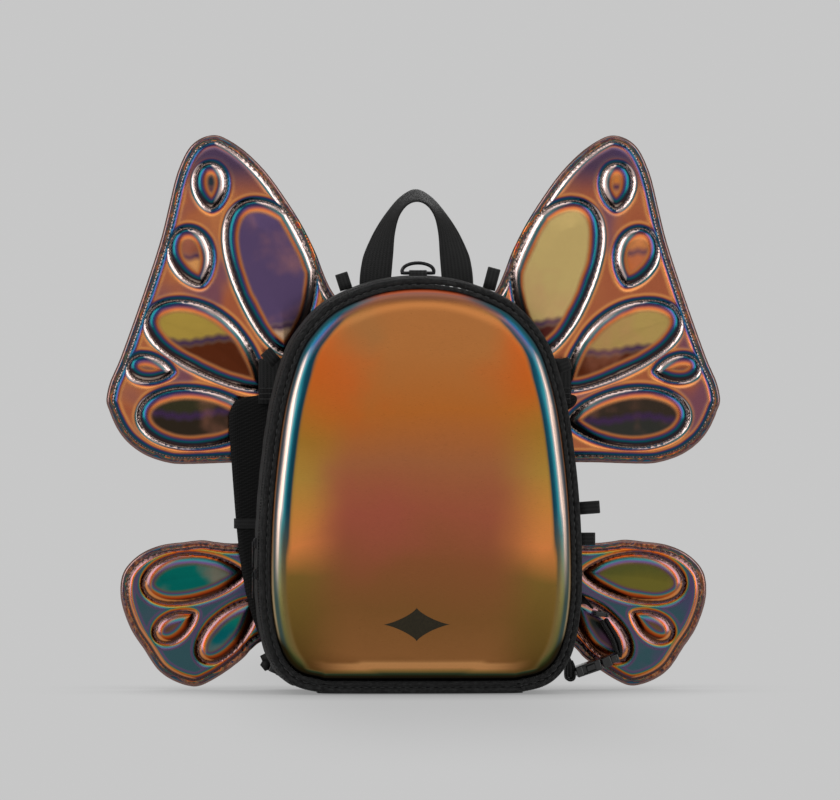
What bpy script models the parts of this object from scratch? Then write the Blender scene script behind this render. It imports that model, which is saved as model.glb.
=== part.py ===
"""Small winged backpack: a clamshell pack with a moulded front, straps and four quilted wings.

Metres, +Z up. The front faces -Y, the wearer's side faces +Y and X runs across the pack.
The origin is the centre of the flat bottom, which the pack stands on.
"""

from math import cos, pi, radians, sin

import bmesh
import bpy
from mathutils import Matrix, Vector

MM = 0.001
GAP = 0.3 * MM  # clearance between pieces that touch

# Pack body
PACK_HALF = [  # right half of the outline, (x, z) in mm, from the bottom centre to the crown
    (0, 0), (35, 0), (66, 0), (92, 4), (107, 12.5), (117, 27), (123, 47), (126.6, 76), (126.7, 112),
    (124.8, 150), (121, 188), (114.8, 228), (104, 266), (91, 288), (72, 306.5), (45, 319), (22, 324.5),
    (0, 326),
]
PACK_HEIGHT = 326 * MM
FRONT_Y = -44 * MM  # plane of the front trim
LID_BACK_Y = -33 * MM
BODY_FRONT_Y = -26 * MM
BODY_BACK_Y = 40 * MM
FABRIC = 1.6 * MM
WELT_R = 2.4 * MM
BINDING_R = 2.2 * MM
PANEL_INSET = 10.5 * MM
PANEL_DEPTH = 15 * MM  # how far the moulded front stands out of its rim
LID_CLEAR = 0.4 * MM  # keeps the lid off the floor

# Back system, front to back
PANEL_BACK_Y = 44 * MM
PAD_T = 5 * MM
STRAP_FRONT_Y = 50 * MM
STRAP_T = 8 * MM
WING_FRONT_Y = 64 * MM
SKIN_T = 0.5 * MM
CORE_T = 2.5 * MM
SPINE_HALF = 20 * MM
ROOT_X = 21.5 * MM  # hinge line of the wings on each side of the spine

# Webbing
WEB_W = 25 * MM
WEB_T = 1.4 * MM
BUCKLE_WEB_W = 20 * MM
LOOP_W = 10 * MM
LOOP_T = 1.0 * MM

# Wings: right-hand outlines, (x, z) in mm; the left wings are their mirror images
UPPER_WING = [
    (158.2, 438.3), (148.2, 435.3), (133.2, 425.3), (117.2, 409.3), (103.2, 390.3), (89.2, 368.3),
    (77.2, 344.3), (67.2, 319.3), (52, 300.3), (24, 284), (24, 192), (81.2, 181.3), (144.2, 179.3),
    (178.2, 178.3), (194.2, 179.3), (212.2, 185.3), (226.2, 195.3), (235.2, 207.3), (241.2, 221.3),
    (243.2, 229.3), (240.2, 243.3), (233.2, 259.3), (222.2, 289.3), (210.2, 324.3), (199.2, 359.3),
    (190.2, 397.3), (185.2, 413.3), (178.2, 427.3), (169.2, 435.3),
]
LOWER_WING = [
    (24, 122), (91.2, 118.5), (143.2, 115.5), (166.2, 118), (182.2, 116.5), (198.2, 114.5),
    (212.2, 109.5), (223.2, 101.5), (230.2, 91.5), (232.2, 78.5), (230.2, 64.5), (223.2, 46.5),
    (213.2, 31.5), (203.2, 16.5), (191.2, 7.5), (176.2, 2.5), (165.2, 4.5), (148.2, 14.5), (134.2, 25.5),
    (119.2, 38.5), (81.2, 46.5), (24, 55),
]

STRAP_LEFT = [  # pad lying beside the pack, (x, z) in mm
    (-98, 231), (-135, 229), (-143, 222), (-145, 212), (-143.5, 190), (-141, 155), (-138, 120),
    (-134, 90), (-127, 60), (-118, 38), (-110, 34), (-98, 38), (-94, 55), (-95, 90), (-96, 130),
    (-96, 180), (-95, 215),
]
STRAP_RIGHT = [  # pad tucked behind the pack
    (128, 231), (92, 231), (84, 215), (70, 175), (56, 130), (45, 90), (40, 68), (46, 60), (60, 58),
    (66, 66), (72, 90), (84, 130), (98, 175), (110, 210), (120, 222),
]

# Haul handle: its left half laid out in (x, z), and how far its edges lean apart in y, all in mm
HANDLE_OUTER = [(-45, 326.5), (-41, 345), (-33, 361), (-22, 375), (-10, 387), (0, 395)]
HANDLE_INNER = [(-20, 326.5), (-18.5, 345), (-16.5, 362), (-14.5, 373), (-9, 381.5), (0, 385)]
HANDLE_LEAN = [0, 1.5, 4, 7.5, 10.5, 11.5]
HANDLE_Y = 26 * MM
HANDLE_Z = 326.5 * MM
D_RING_Y = 2 * MM
D_RING_Z = 328.3 * MM

# Lid
LID_AXIS_Y = LID_BACK_Y + 3.45 * MM
LID_AXIS_Z = 0.4 * MM
EMBLEM_X = -4 * MM
EMBLEM_Z = 55 * MM
SHELL_CENTRE = Vector((0, 155 * MM))

# Lash loops: name, foot (x, z) in mm, direction in degrees from +X, length and depth y in mm
LOOPS = (
    ("loop_top_left", -56, 316.2, 108, 13, 8),
    ("loop_top_right", 56, 316.2, 75, 17, 8),
    ("loop_upper_left", -110.3, 258.2, 132, 12.5, 30),
    ("loop_upper_right", 110.2, 254, 22, 12, 30),
    ("loop_mid_right", 126.4, 144, 4, 17, 12),
    ("loop_low_right", 127.8, 120, 0, 12, 12),
)

# Buckles: where each leaves the corner, and its direction from +X
RIGHT_ANCHOR = Vector((126.6, 14.1)) * MM
RIGHT_TURN = radians(19.3)
RIGHT_BUCKLE_Y = 38 * MM
LEFT_ANCHOR = Vector((-82, 4.7)) * MM
LEFT_TURN = radians(157)
LEFT_BUCKLE_Y = 57.8 * MM
BUCKLE_T = 8.6 * MM
BUCKLE_W = 25 * MM
LEFT_WEB_Y = 54.5 * MM
LEFT_WEB = [  # folded webbing end that lies flat beyond the left buckle
    (-122.2, 26.8), (-116.7, 29.7), (-107, 27), (-107, 24.8), (-112.3, 23.8), (-115.6, 21.5), (-117, 17),
    (-118.3, 14.9), (-122.2, 19.7), (-120.3, 22.4),
]

BLACK = (0.012, 0.012, 0.013, 1)
COLOURS = {
    "film": ((0.42, 0.20, 0.09, 1), 0.22, 0.9),
    "fabric": (BLACK, 0.85, 0.0),
    "mesh": ((0.020, 0.020, 0.021, 1), 0.95, 0.0),
    "webbing": ((0.014, 0.014, 0.015, 1), 0.7, 0.0),
    "plastic": ((0.010, 0.010, 0.010, 1), 0.25, 0.0),
    "metal": ((0.03, 0.03, 0.032, 1), 0.3, 0.8),
    "foam": ((0.10, 0.10, 0.10, 1), 0.9, 0.0),
    "ink": ((0.03, 0.022, 0.012, 1), 0.5, 0.2),
}


def clear_scene():
    """Removes every object of the open scene."""
    for obj in list(bpy.data.objects):
        bpy.data.objects.remove(obj, do_unlink=True)


def material(kind):
    """The named Principled material, made once."""
    if kind in bpy.data.materials:
        return bpy.data.materials[kind]
    colour, roughness, metallic = COLOURS[kind]
    mat = bpy.data.materials.new(kind)
    mat.use_nodes = True
    shader = mat.node_tree.nodes["Principled BSDF"]
    shader.inputs["Base Color"].default_value = colour
    shader.inputs["Roughness"].default_value = roughness
    shader.inputs["Metallic"].default_value = metallic
    return mat


def collection(name):
    """A collection of the scene, made once."""
    found = bpy.data.collections.get(name)
    if found is None:
        found = bpy.data.collections.new(name)
        bpy.context.scene.collection.children.link(found)
    return found


def add(name, data, kind, parts=None):
    """An object in the pack's collection with its own copy of a material."""
    obj = bpy.data.objects.new(name, data)
    (parts or collection("winged_pack")).objects.link(obj)
    mat = material(kind).copy()
    mat.name = f"{name}_{kind}"
    data.materials.append(mat)
    return obj


def solidify(obj, thickness, offset=0.0):
    """Gives an open surface its thickness."""
    mod = obj.modifiers.new("thickness", "SOLIDIFY")
    mod.thickness = thickness
    mod.offset = offset
    mod.use_even_offset = True
    mod.use_quality_normals = True
    return mod


def smooth(points, steps, closed=True):
    """Points along a Catmull-Rom curve through points."""
    points = [Vector(p) for p in points]
    count = len(points)
    out = []
    for i in range(count if closed else count - 1):
        if closed:
            a, b, c, d = (points[(i + k) % count] for k in (-1, 0, 1, 2))
        else:
            a, b, c, d = (points[min(max(i + k, 0), count - 1)] for k in (-1, 0, 1, 2))
        for s in range(steps):
            t = s / steps
            square, cube = 2 * a - 5 * b + 4 * c - d, 3 * b - a - 3 * c + d
            out.append(0.5 * (2 * b + (c - a) * t + square * t**2 + cube * t**3))
    if not closed:
        out.append(points[-1])
    return out


def inset(outline, distance):
    """A closed outline moved inwards by distance; the outline runs anticlockwise."""
    out = []
    count = len(outline)
    for i, point in enumerate(outline):
        along = (outline[(i + 1) % count] - outline[i - 1]).normalized()
        out.append(point + Vector((-along.y, along.x)) * distance)
    return out


def pack_outline(distance=0.0, steps=2):
    """The pack's outline in the XZ plane in metres, moved inwards by distance."""
    half = [Vector(p) * MM for p in PACK_HALF]
    whole = half + [Vector((-p.x, p.y)) for p in reversed(half[1:-1])]
    points = [Vector((p.x, max(p.y, 0.0))) for p in smooth(whole, steps)]
    return inset(points, distance)


def spline(curve, points, cyclic=True):
    """Adds a poly spline through 2D or 3D points."""
    line = curve.splines.new("POLY")
    line.points.add(len(points) - 1)
    for slot, point in zip(line.points, points):
        slot.co = (*point, 1.0) if len(point) == 3 else (*point, 0.0, 1.0)
    line.use_cyclic_u = cyclic


def plate(name, outlines, y_front, y_back, kind):
    """A flat plate in the XZ plane from its outline, with any further outlines as holes."""
    curve = bpy.data.curves.new(name, "CURVE")
    curve.dimensions = "2D"
    curve.fill_mode = "BOTH"
    curve.extrude = (y_back - y_front) / 2
    for outline in outlines:
        spline(curve, outline)
    obj = add(name, curve, kind)
    obj.rotation_euler = (pi / 2, 0, 0)
    obj.location = (0, (y_front + y_back) / 2, 0)
    return obj


def cord_ring(name, outline, y, radius, kind):
    """A round welt that follows a closed outline at depth y."""
    curve = bpy.data.curves.new(name, "CURVE")
    curve.dimensions = "3D"
    curve.bevel_depth = radius
    curve.bevel_resolution = 1
    spline(curve, [(p.x, y, p.y) for p in outline])
    return add(name, curve, kind)


def ribbon(name, rows, thickness, kind):
    """Webbing lofted through rows of (edge, other edge) points, then thickened."""
    bm = bmesh.new()
    first = [bm.verts.new(p) for p in rows[0]]
    edge = bm.edges.new(first)
    for row in rows[1:]:
        made = bmesh.ops.extrude_edge_only(bm, edges=[edge])["geom"]
        verts = [v for v in made if isinstance(v, bmesh.types.BMVert)]
        edge = next(e for e in made if isinstance(e, bmesh.types.BMEdge))
        old = [v.co.copy() for v in first]
        if (verts[0].co - old[0]).length > (verts[0].co - old[1]).length:
            verts.reverse()
        for vert, place in zip(verts, row):
            vert.co = place
        first = verts
    bmesh.ops.recalc_face_normals(bm, faces=bm.faces)
    mesh = bpy.data.meshes.new(name)
    bm.to_mesh(mesh)
    bm.free()
    obj = add(name, mesh, kind)
    solidify(obj, thickness)
    return obj


def side_ribbon(name, path, y_centre, width, thickness, kind="webbing"):
    """Webbing seen edge on from the front: a path in the XZ plane, its width along Y."""
    half = width / 2
    rows = [((p[0], y_centre - half, p[1]), (p[0], y_centre + half, p[1])) for p in path]
    return ribbon(name, rows, thickness, kind)


def fold(base, out, length, spread, steps=6):
    """A hairpin path: out from base by length and back, its plies spread apart."""
    base, out, spread = Vector(base), Vector(out).normalized(), Vector(spread)
    radius = spread.length
    tip = base + out * (length - radius)
    path = [base - spread]
    for k in range(steps + 1):
        angle = -pi / 2 + pi * k / steps
        path.append(tip + out * (radius * cos(angle)) + spread * sin(angle))
    path.append(base + spread)
    return path


def lash_loop(name, x, z, angle, length, y):
    """A folded loop of narrow webbing that stands out of the body at an angle from +X."""
    out = Vector((cos(radians(angle)), 0, sin(radians(angle))))
    across = Vector((-out.z, 0, out.x)) * (LOOP_W / 2)
    base = Vector((x * MM, y, z * MM))
    path = fold(base, out, length, Vector((0, 1.6 * MM, 0)))
    return ribbon(name, [(p - across, p + across) for p in path], LOOP_T, "webbing")


def box(name, size, centre, kind, bevel=0.0, turn=0.0):
    """A block, turned about Y, with rounded edges."""
    bm = bmesh.new()
    bmesh.ops.create_cube(bm, size=1.0)
    bmesh.ops.scale(bm, vec=size, verts=bm.verts)
    mesh = bpy.data.meshes.new(name)
    bm.to_mesh(mesh)
    bm.free()
    obj = add(name, mesh, kind)
    obj.location = centre
    obj.rotation_euler = (0, turn, 0)
    if bevel:
        mod = obj.modifiers.new("edges", "BEVEL")
        mod.width = bevel
        mod.segments = 2
    return obj


def cut(obj, cutter):
    """Cuts obj with a hidden cutter."""
    for place in list(cutter.users_collection):
        place.objects.unlink(cutter)
    collection("cutters").objects.link(cutter)
    cutter.hide_render = True
    cutter.display_type = "WIRE"
    mod = obj.modifiers.new("cut", "BOOLEAN")
    mod.operation = "DIFFERENCE"
    mod.solver = "EXACT"
    mod.object = cutter


def pivot(name, place):
    """An empty on a joint's axis."""
    empty = bpy.data.objects.new(name, None)
    empty.empty_display_size = 10 * MM
    empty.location = place
    collection("winged_pack").objects.link(empty)
    return empty


def hang(empty, *objects):
    """Parents objects to a joint's empty without moving them."""
    for obj in objects:
        obj.parent = empty
        obj.matrix_parent_inverse = Matrix.Translation(-Vector(empty.location))


# ---- Pack body ----------------------------------------------------------------------------------

def build_body():
    """Side gusset, back panel, pads, sleeve and the zip's body half."""
    plate("side_gusset", [pack_outline(), pack_outline(FABRIC)], BODY_FRONT_Y, BODY_BACK_Y, "fabric")
    cord_ring("rear_binding", pack_outline(BINDING_R), BODY_BACK_Y + GAP + BINDING_R, BINDING_R,
              "webbing")
    plate("back_panel", [pack_outline(2 * BINDING_R + 0.6 * MM)], BODY_BACK_Y + 2 * MM, PANEL_BACK_Y,
          "fabric")
    plate("body_zip_tape", [pack_outline(0.8 * MM), pack_outline(3.4 * MM)], LID_BACK_Y + 3.6 * MM,
          BODY_FRONT_Y - GAP, "fabric")
    sleeve = [(-70, 30), (70, 30), (80, 60), (80, 150), (74, 215), (-74, 215), (-80, 150), (-80, 60)]
    outline = [Vector(p) * MM for p in sleeve]
    sleeve_y = BODY_BACK_Y - 6 * MM
    plate("inner_sleeve", [outline], sleeve_y, sleeve_y + 1.5 * MM, "fabric")
    plate("frame_sheet", [pack_outline(14 * MM, 1)], BODY_BACK_Y - 1.5 * MM, BODY_BACK_Y - 0.3 * MM,
          "plastic")
    for name, low, high, wide in (("back_pad_upper", 165, 272, 62), ("back_pad_lower", 50, 157, 78)):
        corners = [(wide, low), (wide, high), (-wide, high), (-wide, low)]
        pad = [Vector(p) * MM for p in corners]
        soften(to_mesh(plate(name, [pad], PANEL_BACK_Y + GAP, PANEL_BACK_Y + PAD_T, "mesh")), 4 * MM)


def to_mesh(obj):
    """Turns a curve into a closed mesh of the same name and place."""
    name, place, kind = obj.name, obj.matrix_basis.copy(), obj.data.materials[0]
    depsgraph = bpy.context.evaluated_depsgraph_get()
    mesh = bpy.data.meshes.new_from_object(obj.evaluated_get(depsgraph))
    bm = bmesh.new()
    bm.from_mesh(mesh)
    bmesh.ops.remove_doubles(bm, verts=bm.verts, dist=0.01 * MM)
    bm.to_mesh(mesh)
    bm.free()
    bpy.data.objects.remove(obj, do_unlink=True)
    new = bpy.data.objects.new(name, mesh)
    new.matrix_basis = place
    collection("winged_pack").objects.link(new)
    if not mesh.materials:
        mesh.materials.append(kind)
    return new


def soften(obj, width, segments=2):
    """Rounds the edges of a mesh."""
    mod = obj.modifiers.new("edges", "BEVEL")
    mod.width = width
    mod.segments = segments
    mod.limit_method = "ANGLE"
    mod.angle_limit = radians(40)


def build_handle():
    """Haul handle with its stubs, and the D-ring on its tab."""
    rows = [
        ((ox * MM, HANDLE_Y + back * MM, oz * MM), (ix * MM, HANDLE_Y - back * MM, iz * MM))
        for (ox, oz), (ix, iz), back in zip(HANDLE_OUTER, HANDLE_INNER, HANDLE_LEAN)
    ]
    rows = list(zip(smooth([r[0] for r in rows], 2, False), smooth([r[1] for r in rows], 2, False)))
    rows += [tuple(Vector((-p.x, p.y, p.z)) for p in row) for row in reversed(rows[:-1])]
    handle = ribbon("haul_handle", rows, 2 * MM, "webbing")
    hang(pivot("haul_handle_axis", (0, HANDLE_Y, HANDLE_Z)), handle)
    curve = bpy.data.curves.new("d_ring", "CURVE")
    curve.dimensions = "3D"
    curve.bevel_depth = 1.6 * MM
    curve.bevel_resolution = 2
    arc = [
        (13 * MM * cos(pi * k / 12), D_RING_Y, D_RING_Z + 8.5 * MM * sin(pi * k / 12)) for k in range(13)
    ]
    spline(curve, arc)
    ring = add("d_ring", curve, "metal")
    hang(pivot("d_ring_axis", (0, D_RING_Y, D_RING_Z)), ring)
    tab_half = 7 * MM
    path = fold((0, D_RING_Y, 326.5 * MM), (0, 0, 1), 4.6 * MM, (0, 2.4 * MM, 0), 8)
    rows = [(p + Vector((-tab_half, 0, 0)), p + Vector((tab_half, 0, 0))) for p in path]
    ribbon("d_ring_tab", rows, LOOP_T * 0.8, "webbing")


def build_loops():
    """Lash loops round the edge of the body."""
    for name, x, z, angle, length, depth in LOOPS:
        lash_loop(name, x, z, angle, length * MM, depth * MM)


# ---- Lid ----------------------------------------------------------------------------------------

def build_lid():
    """The clamshell front: moulded shell, welts, band, lining, zip half and emblem."""
    parts = [
        cord_ring("outer_welt", pack_outline(WELT_R + LID_CLEAR), FRONT_Y + 1 * MM, WELT_R, "fabric"),
        cord_ring("inner_welt", pack_outline(3 * WELT_R + LID_CLEAR + GAP), FRONT_Y, WELT_R * 0.95,
                  "fabric"),
        plate("lid_band", [pack_outline(LID_CLEAR + 0.2 * MM), pack_outline(LID_CLEAR + FABRIC)],
              FRONT_Y + 1 * MM + WELT_R + GAP, LID_BACK_Y, "fabric"),
        plate("lid_zip_tape", [pack_outline(0.8 * MM), pack_outline(3.4 * MM)], LID_BACK_Y + GAP,
              LID_BACK_Y + 3.3 * MM, "fabric"),
        plate("lid_lining", [pack_outline(PANEL_INSET - 4 * MM)], FRONT_Y + WELT_R + 1 * MM,
              FRONT_Y + WELT_R + 2.2 * MM, "fabric"),
        build_shell(),
    ]
    star = []
    for k in range(8):
        wide, tall = ((26, 13) if k % 2 == 0 else (5, 5))
        angle = pi * k / 4
        star.append(Vector((EMBLEM_X + wide * MM * sin(angle), EMBLEM_Z - tall * MM * cos(angle))))
    face = shell_y(0.62)
    parts.append(plate("emblem", [star], face - 0.9 * MM, face - 0.4 * MM, "ink"))
    hang(pivot("lid_axis", (0, LID_AXIS_Y, LID_AXIS_Z)), *parts)


def shell_y(share):
    """Depth of the moulded front at a share of the way from its centre to its rim."""
    rim = min(1.0, (1 - share) / 0.12)
    return FRONT_Y - PANEL_DEPTH * (0.72 * (1 - (1 - rim) ** 2) ** 0.5 + 0.28 * (1 - share**2))


def build_shell():
    """The moulded front: rings of the pack's outline lofted into a shallow dome."""
    rim = [p + Vector((0, 3 * MM)) * (1 - p.y / PACK_HEIGHT) for p in pack_outline(PANEL_INSET, 1)]
    shares = [1.0, 0.99, 0.965, 0.93, 0.88, 0.7, 0.45, 0.2]
    bm = bmesh.new()
    rings = []
    for share in shares:
        places = [SHELL_CENTRE + (p - SHELL_CENTRE) * share for p in rim]
        rings.append([bm.verts.new((p.x, shell_y(share), p.y)) for p in places])
    for ring, nxt in zip(rings, rings[1:]):
        for k in range(len(ring)):
            after = (k + 1) % len(ring)
            bm.faces.new((ring[k], ring[after], nxt[after], nxt[k]))
    bm.faces.new(rings[-1])
    bmesh.ops.recalc_face_normals(bm, faces=bm.faces)
    mesh = bpy.data.meshes.new("front_shell")
    bm.to_mesh(mesh)
    bm.free()
    mesh.shade_smooth()
    obj = add("front_shell", mesh, "film")
    if obj.data.polygons[0].normal.y > 0:
        mesh.flip_normals()
    solidify(obj, 1.2 * MM, -1.0)
    return obj


# ---- Zip ----------------------------------------------------------------------------------------

def build_zip():
    """Two sliders parked on the left side, each with its pull."""
    for name, z in (("upper", 118 * MM), ("lower", 94 * MM)):
        x = -129.0 * MM
        y = LID_AXIS_Y
        slider = box(f"zip_slider_{name}", (2.6 * MM, 7 * MM, 9 * MM), (x, y, z), "metal", 0.8 * MM)
        hinge_x = x - 2.0 * MM
        top = z + 1 * MM
        curve = bpy.data.curves.new(f"zip_pull_{name}", "CURVE")
        curve.dimensions = "2D"
        curve.fill_mode = "BOTH"
        curve.extrude = 0.5 * MM
        length = 20 * MM
        ends = [(-2.6 * MM, 0), (2.6 * MM, 0), (2.2 * MM, -length), (-2.2 * MM, -length)]
        spline(curve, [Vector(p) for p in ends])
        pull = add(f"zip_pull_{name}", curve, "metal")
        pull.rotation_euler = (pi / 2, 0, pi / 2)
        pull.location = (hinge_x, y, top)
        hang(pivot(f"zip_slider_{name}_axis", (x, y, z)), slider)
        hang(pivot(f"zip_pull_{name}_axis", (hinge_x + 0.55 * MM, y, top)), pull)


# ---- Wings --------------------------------------------------------------------------------------

def build_wings():
    """Four quilted wings on a central spine, each of two skins over a foam core."""
    core_y = WING_FRONT_Y + SKIN_T + GAP
    back_y = core_y + CORE_T + GAP
    for rank, outline in (("upper", UPPER_WING), ("lower", LOWER_WING)):
        for side, sign in (("left", -1), ("right", 1)):
            points = [Vector((p[0] * sign, p[1])) * MM for p in outline]
            if turn_of(points) < 0:
                points.reverse()
            inner = inset(points, 5 * MM)
            root = ROOT_X + GAP
            skin = [Vector((sign * max(sign * p.x, root), p.y)) for p in smooth(points, 2)]
            name = f"{rank}_{side}_wing"
            made = [
                plate(f"{name}_front_skin", [skin], WING_FRONT_Y, WING_FRONT_Y + SKIN_T, "film"),
                plate(f"{name}_core", [inner], core_y, core_y + CORE_T, "foam"),
                plate(f"{name}_back_skin", [skin], back_y, back_y + SKIN_T, "film"),
            ]
            hang(pivot(f"{name}_axis", (sign * ROOT_X, back_y + SKIN_T + GAP, 0)), *made)
    low, high = 34 * MM, 300 * MM
    spine = [Vector((SPINE_HALF, low)), Vector((SPINE_HALF, high)), Vector((-SPINE_HALF, high)),
             Vector((-SPINE_HALF, low))]
    plate("wing_spine", [spine], WING_FRONT_Y, back_y + SKIN_T, "webbing")
    reach = WING_FRONT_Y - PANEL_BACK_Y - 2 * GAP
    for name, z in (("upper", 288 * MM), ("lower", 42 * MM)):
        box(f"wing_link_{name}", (WEB_W, reach, 6 * MM), (0, PANEL_BACK_Y + GAP + reach / 2, z), "webbing",
            1 * MM)


def turn_of(points):
    """Twice the signed area of an outline."""
    return sum(a.x * b.y - b.x * a.y for a, b in zip(points, points[1:] + points[:1]))


# ---- Shoulder straps and buckles ----------------------------------------------------------------

def rounded(name, outline, y_front, y_back, kind, radius):
    """A plate with rounded edges."""
    obj = to_mesh(plate(name, [outline], y_front, y_back, kind))
    soften(obj, radius)
    return obj


def along(start, angle, distance):
    """The point at distance from start in the XZ plane."""
    return start + Vector((cos(angle), sin(angle))) * distance


def build_straps():
    """Shoulder straps with their upper tabs and keepers."""
    for side, outline, sign in (("left", STRAP_LEFT, -1), ("right", STRAP_RIGHT, 1)):
        points = [Vector(p) * MM for p in outline]
        if turn_of(points) < 0:
            points.reverse()
        pad = rounded(f"{side}_strap_pad", smooth(points, 2), STRAP_FRONT_Y, STRAP_FRONT_Y + STRAP_T,
                      "mesh", 2.5 * MM)
        x = sign * 111 * MM
        low, high = 226 * MM, 261 * MM
        tab = [Vector((x + WEB_W / 2, low)), Vector((x + WEB_W / 2, high)), Vector((x - WEB_W / 2, high)),
               Vector((x - WEB_W / 2, low))]
        plate(f"{side}_strap_tab", [tab], BODY_BACK_Y + 2 * BINDING_R + 2 * GAP, STRAP_FRONT_Y - GAP,
              "webbing")
        moving = [pad]
        if side == "left":
            moving.append(keeper("left_keeper", (-118.5 * MM, 134 * MM), 50 * MM, 10 * MM))
        hang(pivot(f"{side}_strap_axis", (x, STRAP_FRONT_Y, 222 * MM)), *moving)


def keeper(name, centre, wide, tall):
    """An elastic band round a strap pad, a flat sleeve open at both ends."""
    half, t = wide / 2, 0.7 * MM
    y0, y1 = STRAP_FRONT_Y - GAP, STRAP_FRONT_Y + STRAP_T + GAP
    shape = [(-half, y0), (half, y0), (half, y1), (-half, y1)]
    outer = [(-half - t, y0 - t), (half + t, y0 - t), (half + t, y1 + t), (-half - t, y1 + t)]
    curve = bpy.data.curves.new(name, "CURVE")
    curve.dimensions = "2D"
    curve.fill_mode = "BOTH"
    curve.extrude = tall / 2
    for ring in (outer, shape):
        spline(curve, [Vector(p) for p in ring])
    obj = add(name, curve, "webbing")
    obj.location = (centre[0], 0, centre[1])
    return obj


def side_buckle(side, y, anchor, angle):
    """A side-release buckle seen edge on, its halves mated. Returns the male half."""
    female_at = along(anchor, angle, 10.2 * MM)
    female = box(f"{side}_buckle_female", (20.4 * MM, BUCKLE_W, BUCKLE_T),
                 (female_at.x, y, female_at.y), "plastic", 1 * MM, -angle)
    mouth_at = along(anchor, angle, 14 * MM)
    mouth = box(f"{side}_buckle_mouth", (15 * MM, BUCKLE_W - 4 * MM, BUCKLE_T - 3 * MM),
                (mouth_at.x, y, mouth_at.y), "plastic", 0, -angle)
    cut(female, mouth)
    male_at = along(anchor, angle, 28.3 * MM)
    male = box(f"{side}_buckle_male", (13.4 * MM, BUCKLE_W, BUCKLE_T - 1 * MM),
               (male_at.x, y, male_at.y), "plastic", 1 * MM, -angle)
    prong_at = along(anchor, angle, 16 * MM)
    prong = box(f"{side}_buckle_prong", (14 * MM, BUCKLE_W - 6 * MM, BUCKLE_T - 4 * MM),
                (prong_at.x, y, prong_at.y), "plastic", 0, -angle)
    join(male, prong)
    return male


def join(obj, other):
    """Unites obj with a hidden copy of another solid."""
    cut(obj, other)
    obj.modifiers["cut"].operation = "UNION"


def build_buckles():
    """Corner buckles with their anchors and webbing, and the right strap's tri-glide."""
    male = side_buckle("right", RIGHT_BUCKLE_Y, RIGHT_ANCHOR, RIGHT_TURN)
    path = [Vector(p) * MM for p in ((119.8, 27.5), (121.4, 20), (121.8, 10))]
    side_ribbon("right_corner_anchor", smooth(path, 3, False), RIGHT_BUCKLE_Y, BUCKLE_WEB_W, 2 * WEB_T)
    path = [along(RIGHT_ANCHOR, RIGHT_TURN, 36.3 * MM)]
    path += [Vector(p) * MM for p in ((161.8, 31), (160.4, 38), (157.6, 44), (154, 50), (150.8, 55.2))]
    webbing = side_ribbon("right_buckle_webbing", smooth(path, 2, False), RIGHT_BUCKLE_Y, BUCKLE_WEB_W,
                          WEB_T)
    glide = box("tri_glide", (11 * MM, BUCKLE_W, 4.4 * MM), (145.8 * MM, RIGHT_BUCKLE_Y, 60.2 * MM),
                "plastic", 0.8 * MM, radians(8))
    tail = ribbon("right_strap_tail", strap_tail_rows(), WEB_T, "webbing")
    axis = pivot("right_buckle_axis", (RIGHT_ANCHOR.x, RIGHT_BUCKLE_Y, RIGHT_ANCHOR.y))
    hang(axis, male, webbing, glide, tail)

    male = side_buckle("left", LEFT_BUCKLE_Y, LEFT_ANCHOR, LEFT_TURN)
    path = [along(LEFT_ANCHOR, LEFT_TURN, step * MM) for step in (-7, -4, -0.6)]
    side_ribbon("left_corner_anchor", path, LEFT_BUCKLE_Y, BUCKLE_WEB_W, WEB_T)
    webbing = plate("left_buckle_webbing", [[Vector(p) * MM for p in LEFT_WEB]], LEFT_WEB_Y - WEB_T,
                    LEFT_WEB_Y + WEB_T, "webbing")
    hang(pivot("left_buckle_axis", (LEFT_ANCHOR.x, LEFT_BUCKLE_Y, LEFT_ANCHOR.y)), male, webbing)


def strap_tail_rows():
    """The right strap's lower webbing: flat behind the pack, then turned edge on beside it."""
    half = BUCKLE_WEB_W / 2
    stations = [  # centre (x, y, z) in mm and the turn of the width from upright to lengthwise
        (56, 53.5, 46, 0), (90, 53.5, 58, 0), (112, 53.5, 68, 0), (122, 53.5, 71.5, 10), (129, 49, 71.8, 50),
        (135, 42, 69.6, 80), (139.2, 38, 65.4, 90),
    ]
    rows = []
    for x, y, z, turn in stations:
        centre = Vector((x, y, z)) * MM
        across = Vector((0, -sin(radians(turn)), cos(radians(turn)))) * half
        rows.append((centre - across, centre + across))
    return rows


clear_scene()
build_body()
build_handle()
build_loops()
build_lid()
build_zip()
build_wings()
build_straps()
build_buckles()
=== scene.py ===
"""Looks of the small winged backpack: film, quilted wings, fabric, webbing, mesh and plastic.

Works in the frame's metres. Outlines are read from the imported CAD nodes, so that each piece lies
where its solid does.
"""

from math import copysign, cos, pi, radians, sin, sqrt

import bmesh
import bpy
from mathutils import Matrix, Vector, geometry, kdtree


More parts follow.
